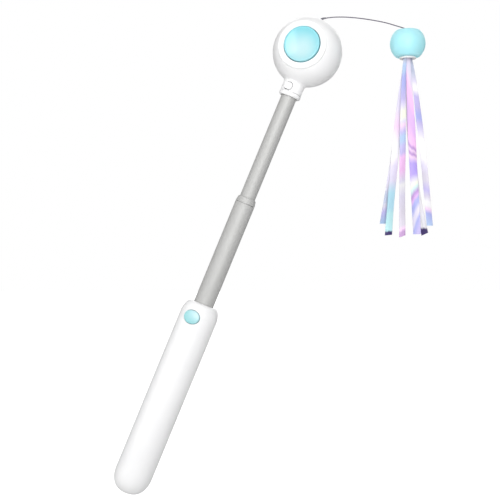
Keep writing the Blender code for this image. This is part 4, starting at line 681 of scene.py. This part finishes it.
# The dish is the same ABS, polished, with painted light and shade: it is painted paler a little below its
# middle and deeper towards its rim and top, as the hollow's light and shade
polished = painted_light_turquoise("polished turquoise ABS with painted light and shade", head @ Vector((0.0013, -DISH_RIM, -0.0032)), 0.002, 0.0165,
                  "#B7DBDF", "#80CDD8", (0.16, 0.24), Coat_Weight=0.25, Coat_Roughness=0.08)
piece("head_dish", turned(dish, 144, "FRONT"), polished, "head_button", "turquoise_shell", "head_button",
      place=head)

# Works in the head: an acetal chassis between the halves, a motor can and gearbox, a pouch cell, two
# boards, and a small switch with a coil spring. They are closed in, and all but the spring keep their
# own meshes.
DISH_PUSH, DISH_TRAVEL = (0.27031, 0.95630, -0.11141), 0.0008
spring("dish_spring", "button_spring", DISH_PUSH)
# Glass-filled nylon of the switch's case: black and matt with a faint speckle
black_nylon = grained(shader("black glass-filled nylon", IOR=1.53), 1200.0, (0.45, 0.65),
                      ("#18181A", "#26262A"))
# Solder mask on glass epoxy: glossy green over a woven cloth whose threads are 0.5 mm apart
solder_mask, tree, surface, place = shader("green solder mask on glass epoxy", IOR=1.52, Roughness=0.32,
                                           Coat_Weight=0.4, Coat_Roughness=0.15)
weave = add(tree, "ShaderNodeTexChecker", {"Color1": linear("#1C7A4A"), "Color2": linear("#1A7045"),
                                           "Scale": 1000.0}, {"Vector": place})
tree.links.new(weave.outputs["Color"], surface.inputs["Base Color"])
# Heat-shrunk film on the cell: blue, tight and shiny, with slight wrinkles about 5 mm long
cell_wrap = grained(shader("blue heat-shrunk film", IOR=1.55), 200.0, (0.20, 0.40), ("#3F6BB0", "#4C79BE"))
dress(acetal, "chassis")
dress(zinc, "motor", "gearbox", "drive_shaft")
dress(black_nylon, "switch_body")
dress(turquoise_abs, "switch_plunger")
dress(solder_mask, "control_board", "charge_board")
dress(cell_wrap, "battery")

# Charging socket: a shell folded from plated steel strip, with a flat black tongue inside it, soldered to
# the charging board at the rear of the ball
SOCKET_BACK, SOCKET_LIP, SOCKET_FOLD, SOCKET_OPEN = 0.01537, 0.00025, 0.0012, 0.030
TONGUE, TONGUE_MIDDLE, TONGUE_EDGE = (0.0066, 0.0054, 0.0007), 0.0038, 0.00012
socket_shell = cut(port_form(0, SOCKET_BACK, PORT_MOUTH),
                   port_form(-SOCKET_LIP, SOCKET_BACK + SOCKET_FOLD, SOCKET_OPEN))
piece("port_shell", socket_shell, zinc, "head_rod", "plated_steel", "charge_socket", place=head)
tongue = block((0, SOCKET_BACK + TONGUE_MIDDLE, PORT_LEVEL), TONGUE)
bmesh.ops.bevel(tongue, geom=tongue.edges, offset=TONGUE_EDGE, segments=2, affect="EDGES")
piece("port_tongue", tongue, black_nylon, "head_rod", "black_plastic", place=head)

# Drive: a white ABS hub pressed on the gearbox's shaft. It fills the hole in the ball's pole, flush with
# the ball, and carries the wire.
HUB, HUB_LOW, HUB_EDGE, SHAFT, SHAFT_TOP, SLEEVE = 0.0027, 0.0209, 0.00025, 0.0015, 0.0236, 0.00103
hub = [(SHAFT + GAP, HUB_LOW), (HUB, HUB_LOW), (HUB, sqrt(BALL ** 2 - HUB ** 2) - HUB_EDGE)]
hub += [(r, sqrt(BALL ** 2 - r ** 2)) for r in (HUB - HUB_EDGE, 0.0021, 0.0017)]
hub += [(SLEEVE + GAP + 0.0001, BALL - 0.00005), (SLEEVE + GAP, BALL - 0.0002),
        (SLEEVE + GAP, SHAFT_TOP + GAP), (SHAFT + GAP, SHAFT_TOP + GAP)]
piece("pole_hub", turned(hub, 64), white_abs, "drive", "white_shell", "drive_hub", place=head)

# Spring wire: hard-drawn steel, gripped in the hub with a short grey silicone sleeve round its root. It
# turns over at its far end, where a small ball is swaged on for the toy.
WIRE, END_BALL = 0.00038, 0.0017
ROOT, ROOT_END = 0.00085, 0.00058
TOY = (0.0651, -0.0108)
# The route from the pole, as (across, up), and the sleeve's over its first bend
ROUTE = [
    (0.0025, 0.0013), (0.0061, 0.0019), (0.0121, 0.0024), (0.0201, 0.0023), (0.0301, 0.0014),
    (0.0401, -0.0001), (0.0486, -0.0018), (0.0556, -0.0038), (0.0606, -0.0053), (0.0635, -0.0064),
    (TOY[0] - WIRE, TOY[1] + 0.0032), (TOY[0], TOY[1] + END_BALL + GAP + WIRE),
    (TOY[0], TOY[1] + END_BALL + GAP),
]
SLEEVE_ROUTE = [(0.0012, 0.0010), (0.0025, 0.0014), (0.0039, 0.0016)]
level = Matrix.Translation(head @ Vector((0, 0, BALL)))
up = (head.to_3x3() @ Vector((0, 0, 1))).normalized()
wire_tree = tree = bpy.data.node_groups.new("wire along a route", "GeometryNodeTree")
given = sockets(tree, Geometry="Geometry", Radius="Float", End_Radius="Float", Sides="Int", Finish="Material")
line = add(tree, "GeometryNodeMeshToCurve", links={"Mesh": given["Geometry"]})
smooth = add(tree, "GeometryNodeCurveSplineType", {"spline_type": "CATMULL_ROM"}, {"Curve": line})
even = add(tree, "GeometryNodeResampleCurve", {"Count": 160}, {"Curve": smooth})
along = add(tree, "GeometryNodeSplineParameter")
thick = add(tree, "ShaderNodeMapRange", {"interpolation_type": "SMOOTHSTEP", "From Min": 0.45},
            {"Value": along.outputs["Factor"], "To Min": given["Radius"], "To Max": given["End Radius"]})
section = add(tree, "GeometryNodeCurvePrimitiveCircle", {"Radius": 1.0}, {"Resolution": given["Sides"]})
swept = add(tree, "GeometryNodeCurveToMesh", {"Fill Caps": True},
            {"Curve": even, "Profile Curve": section, "Scale": thick})
ended(tree, swept, given["Finish"])


def along_route(heights, route, radius, end_radius, sides, finish):
    """A wire through heights on the ball's axis, about its pole, and then on along a route from there."""
    points = [up * height for height in heights] + [Vector((x, 0, z)) for x, z in route]
    return grow(wire_tree, follow(points),
                {"Radius": radius, "End Radius": end_radius, "Sides": sides, "Finish": finish})


# Hard-drawn spring steel: dark grey with a violet cast from its temper, and a satin shine
spring_wire = grained(shader("dark drawn spring steel", Metallic=0.9), 1500.0, (0.28, 0.42),
                      ("#55505F", "#6A6474"))
wire = along_route((-0.0018, -0.00035, 0.00035), ROUTE, WIRE, WIRE, 16, spring_wire)
piece("spring_wire", wire, spring_wire, "drive", "spring_steel", "teaser_wire", place=level)
# Grey silicone: soft, dull and even. The sleeve thins towards its end
silicone = moulded("grey silicone rubber", "#75727C", "#6A6771", 0.55, 1.43)
sleeve = along_route((-0.0018, -0.0007, 0.0004), SLEEVE_ROUTE, ROOT, ROOT_END, 28, silicone)
piece("root_sleeve", sleeve, silicone, "drive", "black_rubber", "wire_sleeve", place=level)
toy = level @ Matrix.Translation((TOY[0], 0, TOY[1]))
ball = [(0, -END_BALL)] + arc(END_BALL, radians(-80), radians(80), 20) + [(0, END_BALL)]
piece("end_ball", turned(ball, 48), zinc, "drive", "plated_steel", "wire_end_ball", place=toy)

# Swivel: a turned and plated steel cup round the wire's end ball, riveted under the bead's web so that
# the toy can swing and twist
SWIVEL_WALL, STEM, RIVET, RIVET_EDGE = 0.0007, 0.0012, 0.0023, 0.0002
CUP_LIP, CUP_TOP, CUP_LOW, CUP_FOOT = 0.00133, 0.0008, -0.0020, -0.0027
WEB_TOP, WEB_LOW = -0.0030, -0.0055
cup_in = END_BALL + GAP
cup_out = cup_in + SWIVEL_WALL
cup = arc(cup_in, radians(-90), radians(36), 21)
cup += rounded([(cup_in * cos(radians(41)), CUP_LIP), (cup_out - 0.0003, CUP_LIP, 0.0003),
                (cup_out, CUP_TOP, 0.0005), (cup_out, CUP_LOW, 0.0006),
                (cup_out - SWIVEL_WALL, CUP_FOOT, 0.0004)])
cup += [(STEM, CUP_FOOT), (STEM, WEB_LOW - GAP), (RIVET, WEB_LOW - GAP)]
cup += [(RIVET * cos(t), WEB_LOW - GAP - RIVET_EDGE - SWIVEL_WALL * sin(t))
        for t in (radians(a) for a in range(0, 91, 15))]
piece("swivel_cup", turned(cup, 64), zinc, "swivel", "plated_steel", "toy_swivel", place=toy)

# Bead: a hollow turquoise ball with a flat top and bottom, moulded in one with the web that hangs on the
# swivel. A white plug glued in its bottom holds the film.
BEAD, BEAD_WALL, BEAD_MIDDLE, BEAD_FLAT = 0.0132, 0.0016, -0.0067, 0.0099
BEAD_BORE, BEAD_EDGE, BORE_EDGE = 0.0033, 0.0016, 0.0003
PLUG, PLUG_TOP, PLUG_END, PLUG_EDGE = 0.0056, -0.0130, -0.0181, 0.0002
PLUG_RIM, PLUG_RIM_TOP = 0.0007, -0.0169
STRIP_COUNT, STRIP_PITCH, SLOT_MIDDLE, SLOT_DEPTH = 6, 0.0011, -0.0167, 0.0060
# The bead's own plastic is milkier: light that enters it spreads, and a faint emission, a painted glow, keeps
# its edges bright
milky_pp_painted_glow = moulded("milky turquoise polypropylene with painted glow", "#A6D8DF", "#9FD4DC", 0.42, 1.49, Subsurface_Weight=0.6,
                   Subsurface_Radius=(0.7, 1.0, 1.0), Subsurface_Scale=0.006,
                   Emission_Color=linear("#9FE3EC"), Emission_Strength=0.2)
bead_in = BEAD - BEAD_WALL
bead_top, bead_low = BEAD_MIDDLE + BEAD_FLAT, BEAD_MIDDLE - BEAD_FLAT
# Each flat runs into the ball over a rounded edge that touches both
height = BEAD_FLAT - BEAD_EDGE
centre = sqrt((BEAD - BEAD_EDGE) ** 2 - height ** 2)
meets = atan2(height, centre)
edge = arc(BEAD_EDGE, pi / 2, meets, 8, centre, height)
half = asin((BEAD_FLAT - BEAD_WALL) / bead_in)
shape = [(BEAD_BORE, bead_top - BORE_EDGE), (BEAD_BORE + BORE_EDGE, bead_top)]
shape += [(r, BEAD_MIDDLE + z) for r, z in edge]
shape += arc(BEAD, meets, -meets, 44, 0, BEAD_MIDDLE)[1:-1]
shape += [(r, BEAD_MIDDLE - z) for r, z in reversed(edge)]
shape += [(PLUG + PLUG_EDGE, bead_low), (PLUG, bead_low + PLUG_EDGE), (PLUG, bead_low + BEAD_WALL)]
shape += arc(bead_in, -half, half, 16, 0, BEAD_MIDDLE)
shape += [(BEAD_BORE + BEAD_WALL, bead_top - BEAD_WALL), (BEAD_BORE + BEAD_WALL, WEB_LOW),
          (STEM + GAP, WEB_LOW), (STEM + GAP, WEB_TOP), (BEAD_BORE, WEB_TOP)]
piece("bead_ball", turned(shape, 112), milky_pp_painted_glow, "toy", "turquoise_shell", "bead", place=toy, sharp=50)
stack = STRIP_PITCH * STRIP_COUNT / 2
pocket = sqrt((PLUG - 2 * GAP) ** 2 - stack ** 2)
plug = turned(rounded([
    (0, PLUG_END), (PLUG + PLUG_RIM, PLUG_END, 0.0004), (PLUG + PLUG_RIM, PLUG_RIM_TOP, 0.0002),
    (PLUG - GAP, PLUG_RIM_TOP), (PLUG - GAP, PLUG_TOP), (0, PLUG_TOP)]), 80)
plug = cut(plug, block((0, 0, SLOT_MIDDLE), (2 * pocket, 2 * stack, SLOT_DEPTH)))
piece("bead_plug", plug, white_abs, "toy", "white_shell", "bead_insert", place=toy)

# Ribbons: six strips slit from iridescent polyester film, layered in the plug, that fan out as they hang.
# Each has its own bands of colour, where the film's coating shifts along it; one tree makes them all.
FILM_THICK, HANG_TOP = 0.00018, -0.0140
# The coating's hues, from its pinks over lilac and blue to a clear glint; the dark first entry is not a hue
# but painted shade for the folded-back ends of two strips
HUES = {"painted_end_shade": "#41316E", "violet": "#BEAAFB", "plum": "#BE94D8", "orchid": "#E5BCF5", "mauve": "#C7A0D2",
        "lilac": "#CAC1F2", "mist": "#E9E4F9", "pink": "#F9C8F8", "blush": "#F9DAF8", "white": "#FDFCFF",
        "cream": "#FBFCEC", "mint": "#D4F2EE", "sky": "#B8D0F3", "cyan": "#C0EEFF", "aqua": "#CCFBFF",
        "silver": "#E1DBEA", "slate": "#C3CBE2", "periwinkle": "#B3B9F3"}
# Each strip: across at the bead and at its end, forward and below the pivot there, how straight it spreads,
# place in the stack, width, twist in degrees, roll, how its end is cut, slant of its bands and how much
# that changes along it, and the bands
STRIPS = [
    (-0.0023, -0.0058, -0.0100, 0.1510, 0.55, 0, 0.0046, 10, 0.20, 0.35, 0.10, 0.0, [
        (0.0, "slate"), (0.045, "slate"), (0.065, "sky"), (0.10, "sky"), (0.13, "periwinkle"),
        (0.17, "periwinkle"), (0.25, "lilac"), (0.29, "mist"), (0.32, "cream"), (0.35, "cream"),
        (0.375, "mist"), (0.395, "blush"), (0.43, "lilac"), (0.455, "sky"), (0.48, "sky"),
        (0.51, "lilac"), (0.545, "lilac"), (0.57, "pink"), (0.64, "pink"), (0.70, "mist"),
        (0.72, "white"), (0.78, "mist"), (0.87, "silver"), (0.94, "silver"), (0.96, "blush"),
        (0.975, "mauve")]),
    (0.0001, 0.0058, -0.0060, 0.1493, 1.0, 1, 0.0058, -10, 0.20, 0.0, -1.86, 2.96, [
        (0.0, "mist"), (0.09, "mist"), (0.17, "blush"), (0.22, "pink"), (0.265, "pink"), (0.33, "orchid"),
        (0.42, "orchid"), (0.47, "pink"), (0.505, "pink"), (0.525, "plum"), (0.54, "blush"),
        (0.56, "plum"), (0.575, "blush"), (0.61, "violet"), (0.67, "violet"), (0.70, "mist"),
        (0.725, "cream"), (0.745, "mint"), (0.775, "plum"), (0.80, "orchid"), (0.82, "periwinkle"),
        (0.845, "periwinkle"), (0.88, "mist"), (0.91, "mist"), (0.94, "periwinkle"), (1.0, "lilac")]),
    (-0.0015, -0.0177, 0.0045, 0.1412, 1.3, 4, 0.0054, 8, 0.20, 0.0, 0.15, 0.0, [
        (0.0, "mist"), (0.60, "white"), (0.73, "mist"), (0.775, "silver"), (0.82, "slate"),
        (0.86, "slate"), (0.89, "silver"), (0.93, "lilac"), (0.99, "sky")]),
    (0.0022, 0.0171, 0.0025, 0.1427, 0.8, 3, 0.0046, -14, 0.20, 0.0, -0.08, 0.0, [
        (0.0, "slate"), (0.10, "slate"), (0.16, "mist"), (0.185, "white"), (0.21, "white"),
        (0.25, "lilac"), (0.31, "lilac"), (0.35, "periwinkle"), (0.375, "periwinkle"), (0.40, "lilac"),
        (0.46, "mist"), (0.50, "white"), (0.61, "white"), (0.65, "mist"), (0.70, "silver"),
        (0.735, "silver"), (0.79, "lilac"), (0.835, "silver"), (0.86, "white"), (0.885, "white"),
        (0.905, "blush"), (0.93, "periwinkle"), (1.0, "sky")]),
    # Strips 5 and 6 end in a dark stop of painted shade, for their folded-back ends
    (-0.0008, -0.0146, -0.0010, 0.1499, 0.74, 2, 0.0055, 10, 0.20, 0.10, 0.02, 0.0, [
        (0.0, "mist"), (0.30, "mist"), (0.40, "blush"), (0.50, "white"), (0.57, "white"), (0.62, "mist"),
        (0.70, "mist"), (0.77, "cyan"), (0.85, "cyan"), (0.88, "aqua"), (0.975, "aqua"), (0.982, "painted_end_shade")]),
    (0.0010, 0.0147, 0.0105, 0.1490, 2.2, 5, 0.0050, -8, 0.15, 0.45, -0.10, 0.0, [
        (0.0, "mist"), (0.12, "white"), (0.96, "white"), (0.972, "painted_end_shade")]),
]
# A strip's wave: how far it goes, how it is shifted from strip to strip, and how fast it runs
WAVE, WAVE_STEP, WAVES = 0.0004, 1.3, 11.0
# The strip's share of its width in the bead, and the shares of its length where it leaves the bead and
# where it is fully open
GATHERED, GATHER_END, OPEN_END = 0.58, 0.04, 0.40
# How late it bows forward, how close to its end the slanted cut shows, and how much it cups
BOW, END_SKEW, CUPPING = 1.4, 8.0, 30.0
# How far along the strip its bands lean over its width, at a slant of 1
BAND_SLANT = 0.12
# What places the strip's points: each sum's name, its operation and what goes into it
SUMS = [
    ("side", "MULTIPLY", "width", "opening"), ("flare", "POWER", "free", "Spread"),
    ("beat", "MULTIPLY_ADD", "down", WAVES, "Phase"), ("wave", "SINE", "beat"),
    ("swing", "MULTIPLY", "wave", "free"), ("sway", "MULTIPLY", "swing", "Wave"),
    ("travel", "SUBTRACT", "Across", "Start"), ("x", "MULTIPLY_ADD", "flare", "travel", "Start"),
    ("ahead", "SUBTRACT", "Forward", "Layer"), ("bow", "POWER", "free", BOW),
    ("from", "ADD", "Layer", "sway"), ("y", "MULTIPLY_ADD", "bow", "ahead", "from"),
    ("drop", "ADD", "Below", "Top"), ("fallen", "MULTIPLY", "down", "drop"),
    ("hang", "SUBTRACT", "Top", "fallen"),
    ("end", "POWER", "down", END_SKEW), ("askew", "MULTIPLY", "end", "Cut"),
    ("z", "MULTIPLY_ADD", "side", "askew", "hang"),
    ("roll", "MULTIPLY", "swing", "Roll"), ("angle", "MULTIPLY_ADD", "free", "Twist", "roll"),
    ("cosine", "COSINE", "angle"), ("sine", "SINE", "angle"),
    # The strip cups a little across its width
    ("square", "MULTIPLY", "side", "side"), ("cup", "MULTIPLY", "square", CUPPING),
    ("turned x", "MULTIPLY_ADD", "side", "cosine", "x"), ("cup x", "MULTIPLY", "cup", "sine"),
    ("X", "SUBTRACT", "turned x", "cup x"),
    ("turned y", "MULTIPLY_ADD", "side", "sine", "y"), ("cup y", "MULTIPLY", "cup", "cosine"),
    ("Y", "ADD", "turned y", "cup y"),
]


def film(name, slant, swirl, bands):
    """Iridescent film: a metal-thin coating on clear polyester, bright, slick and banded in soft hues."""
    parts = shader(name, Metallic=0.10, IOR=1.6, Coat_Weight=0.08, Coat_Roughness=0.25,
                   Specular_IOR_Level=0.25)
    _, tree, surface, _ = parts
    strip = add(tree, "ShaderNodeUVMap", {"uv_map": "UVMap"})
    split = add(tree, "ShaderNodeSeparateXYZ", links={0: strip})
    across, down = split.outputs["X"], split.outputs["Y"]
    # Bands run slanted over the strip, by the share of its length that the slant gives, and are uneven
    drift = add(tree, "ShaderNodeTexNoise", {"Scale": 3.0, "Detail": 2.0}, {"Vector": strip})
    sway = add(tree, "ShaderNodeMapRange", {"To Min": -0.01, "To Max": 0.01}, {"Value": drift})
    lean = add(tree, "ShaderNodeMath",
               {"operation": "MULTIPLY_ADD", 1: swirl * BAND_SLANT, 2: slant * BAND_SLANT}, {0: down})
    aside = add(tree, "ShaderNodeMath", {"operation": "SUBTRACT", 1: 0.5}, {0: across})
    spot = add(tree, "ShaderNodeMath", {"operation": "MULTIPLY_ADD"}, {0: aside, 1: lean, 2: down})
    swayed = add(tree, "ShaderNodeMath", {"operation": "ADD"}, {0: spot, 1: sway})
    ramp = add(tree, "ShaderNodeValToRGB", links={"Fac": swayed})
    stops = ramp.color_ramp.elements
    for i, (place, hue) in enumerate(bands):
        stop = stops[i] if i < len(stops) else stops.new(place)
        stop.position, stop.color = place, linear(HUES[hue])
    # The slit edges are painted a little darker over about 0.3 mm, as painted shade
    inward = add(tree, "ShaderNodeMath", {"operation": "PINGPONG", 1: 0.5}, {0: across})
    edge = add(tree, "ShaderNodeMapRange", {"From Max": 0.07, "To Min": 0.68, "To Max": 0.81},
               {"Value": inward})
    shade = add(tree, "ShaderNodeMix", {"data_type": "RGBA", "blend_type": "MULTIPLY", 0: 1.0},
                {6: ramp, 7: edge})
    tree.links.new(shade.outputs[2], surface.inputs["Base Color"])
    # Fine creases run slantwise; they are 0.6 mm apart and only a few micrometres deep
    lie = add(tree, "ShaderNodeMapping", {"Scale": (6.0, 60.0, 1.0), "Rotation": (0.0, 0.0, 0.35)},
              {0: strip})
    return grained(parts, 1.5, (0.40, 0.56), detail=3.0, dent=(0.2, 0.0002), lie=lie)


ribbon_tree = tree = bpy.data.node_groups.new("hanging film strip", "GeometryNodeTree")
lengths = ("Start", "Across", "Forward", "Below", "Spread", "Width", "Twist", "Roll", "Wave", "Cut", "Layer",
           "Top", "Phase", "Thickness")
given = sockets(tree, **dict.fromkeys(lengths, "Float"), Finish="Material")
sheet = add(tree, "GeometryNodeMeshGrid", {"Size Y": 1.0, "Vertices X": 7, "Vertices Y": 141},
            {"Size X": given["Width"]})
mapped = add(tree, "GeometryNodeStoreNamedAttribute",
             {"data_type": "FLOAT2", "domain": "CORNER", "Name": "UVMap"},
             {"Geometry": sheet, "Value": sheet.outputs["UV Map"]})
split = add(tree, "ShaderNodeSeparateXYZ", links={0: add(tree, "GeometryNodeInputPosition")})
down = add(tree, "ShaderNodeMath", {"operation": "ADD", 1: 0.5}, {0: split.outputs["Y"]})
opening = add(tree, "ShaderNodeMapRange",
              {"From Min": GATHER_END, "From Max": OPEN_END, "To Min": GATHERED}, {"Value": down})
free = add(tree, "ShaderNodeMapRange", {"From Min": GATHER_END}, {"Value": down})
known = {"width": split.outputs["X"], "down": down, "opening": opening, "free": free}
known.update({source.name: source for source in given if source.name})
for name, operation, *terms in SUMS:
    plain = {i: term for i, term in enumerate(terms) if not isinstance(term, str)}
    linked = {i: known[term] for i, term in enumerate(terms) if isinstance(term, str)}
    known[name] = add(tree, "ShaderNodeMath", {"operation": operation, **plain}, linked)
set_at = add(tree, "ShaderNodeCombineXYZ", links={"X": known["X"], "Y": known["Y"], "Z": known["z"]})
hung = add(tree, "GeometryNodeSetPosition", links={"Geometry": mapped, "Position": set_at})
thick = add(tree, "GeometryNodeExtrudeMesh", {"mode": "FACES", "Individual": False},
            {"Mesh": hung, "Offset Scale": given["Thickness"]})
back = add(tree, "GeometryNodeFlipFaces", links={"Mesh": hung})
both = add(tree, "GeometryNodeJoinGeometry", links={0: [thick, back]})
closed = add(tree, "GeometryNodeMergeByDistance", {"Distance": 1e-6}, {"Geometry": both})
ended(tree, closed, given["Finish"])
for i, (start, across, forward, below, spread, order, width, twist, roll, end_cut, slant, swirl,
        bands) in enumerate(STRIPS):
    finish = film(f"iridescent film {i + 1}", slant, swirl, bands)
    layer = (order - (STRIP_COUNT - 1) / 2) * STRIP_PITCH
    strip = grow(ribbon_tree, follow([]), {
        "Start": start, "Across": across, "Forward": forward, "Below": below, "Spread": spread,
        "Width": width, "Twist": radians(twist), "Roll": roll, "Wave": WAVE, "Cut": end_cut, "Layer": layer,
        "Top": HANG_TOP, "Phase": WAVE_STEP * i, "Thickness": FILM_THICK, "Finish": finish})
    piece(f"film_strip_{i + 1}", strip, finish, "toy", "iridescent_film", f"ribbon_{i + 1}", place=toy,
          sharp=60)

# Studio: a wide white paper floor well below the wand, that shows as pure white to the camera, under a
# white sky that is a little brighter above. Four soft lamps stand in front and at the left, and one above
# behind.
FLOOR, FLOOR_HALF, WHITE = -0.165, 6, (1.0, 1.0, 1.0, 1.0)
SKY_LOW, SKY_HIGH = 0.35, 0.49
floor_mesh = bpy.data.meshes.new("floor")
corners = [(x * FLOOR_HALF, y * FLOOR_HALF, FLOOR) for x, y in ((-1, -1), (1, -1), (1, 1), (-1, 1))]
floor_mesh.from_pydata(corners, [], [(0, 1, 2, 3)])
paper, tree, surface, _ = shader("white studio paper", Base_Color=linear("#DADADA"), Roughness=0.9,
                                 Emission_Color=WHITE)
path = add(tree, "ShaderNodeLightPath")
tree.links.new(path.outputs["Is Camera Ray"], surface.inputs["Emission Strength"])
floor_mesh.materials.append(paper)
floor = bpy.data.objects.new("floor", floor_mesh)
bpy.context.collection.objects.link(floor)

world = bpy.data.worlds.new("studio")
bpy.context.scene.world = world
world.use_nodes = True
tree = world.node_tree
tree.nodes.clear()
path = add(tree, "ShaderNodeLightPath")
facing = add(tree, "ShaderNodeTexCoord")
toward = add(tree, "ShaderNodeSeparateXYZ", links={"Vector": facing.outputs["Generated"]})
dimmed = add(tree, "ShaderNodeMapRange", {"To Min": SKY_LOW, "To Max": SKY_HIGH},
             {"Value": toward.outputs["Z"]})
soft = add(tree, "ShaderNodeBackground", {"Color": WHITE}, {"Strength": dimmed})
white = add(tree, "ShaderNodeBackground", {"Color": WHITE, "Strength": 1.0})
both = add(tree, "ShaderNodeMixShader", links={0: path.outputs["Is Camera Ray"], 1: soft, 2: white})
add(tree, "ShaderNodeOutputWorld", links={"Surface": both})


def aimed(name, data, place, aim):
    """A lamp or a camera at a place, that points at a spot on the wand."""
    made = bpy.data.objects.new(name, data)
    made.location = place
    made.rotation_euler = (Vector(aim) - Vector(place)).to_track_quat("-Z", "Y").to_euler()
    bpy.context.collection.objects.link(made)
    return made


# Square soft lamps: where each stands, what it points at, its side and its power
for name, place, aim, side, power in (
        ("key", (-0.55, -0.75, 0.75), (0.10, 0, 0.25), 0.6, 0.70),
        ("top", (0.10, -0.60, 0.50), (0.14, 0, 0.25), 0.4, 1.97),
        ("front", (0.10, -0.55, 0.16), (0.11, 0, 0.26), 0.3, 1.30),
        ("side", (-0.60, -0.35, 0.10), (0.05, 0, 0.15), 0.5, 0.97),
        ("rear", (0.30, 1.10, 0.70), (0.08, 0, 0.10), 0.9, 4.10)):
    light = bpy.data.lights.new(name, "AREA")
    light.size = side
    light.energy = power
    aimed(name, light, place, aim)

# Camera: a little below the head's level, level with the handle, about 0.7 m away
camera = bpy.data.cameras.new("camera")
camera.sensor_width = 36.0
camera.lens = 68.38
camera.clip_start = 0.01
bpy.context.scene.camera = aimed("camera", camera, (0.0593, -0.7093, 0.1086), (0.06356, 0, 0.11066))
bpy.context.scene.view_settings.view_transform = "Standard"
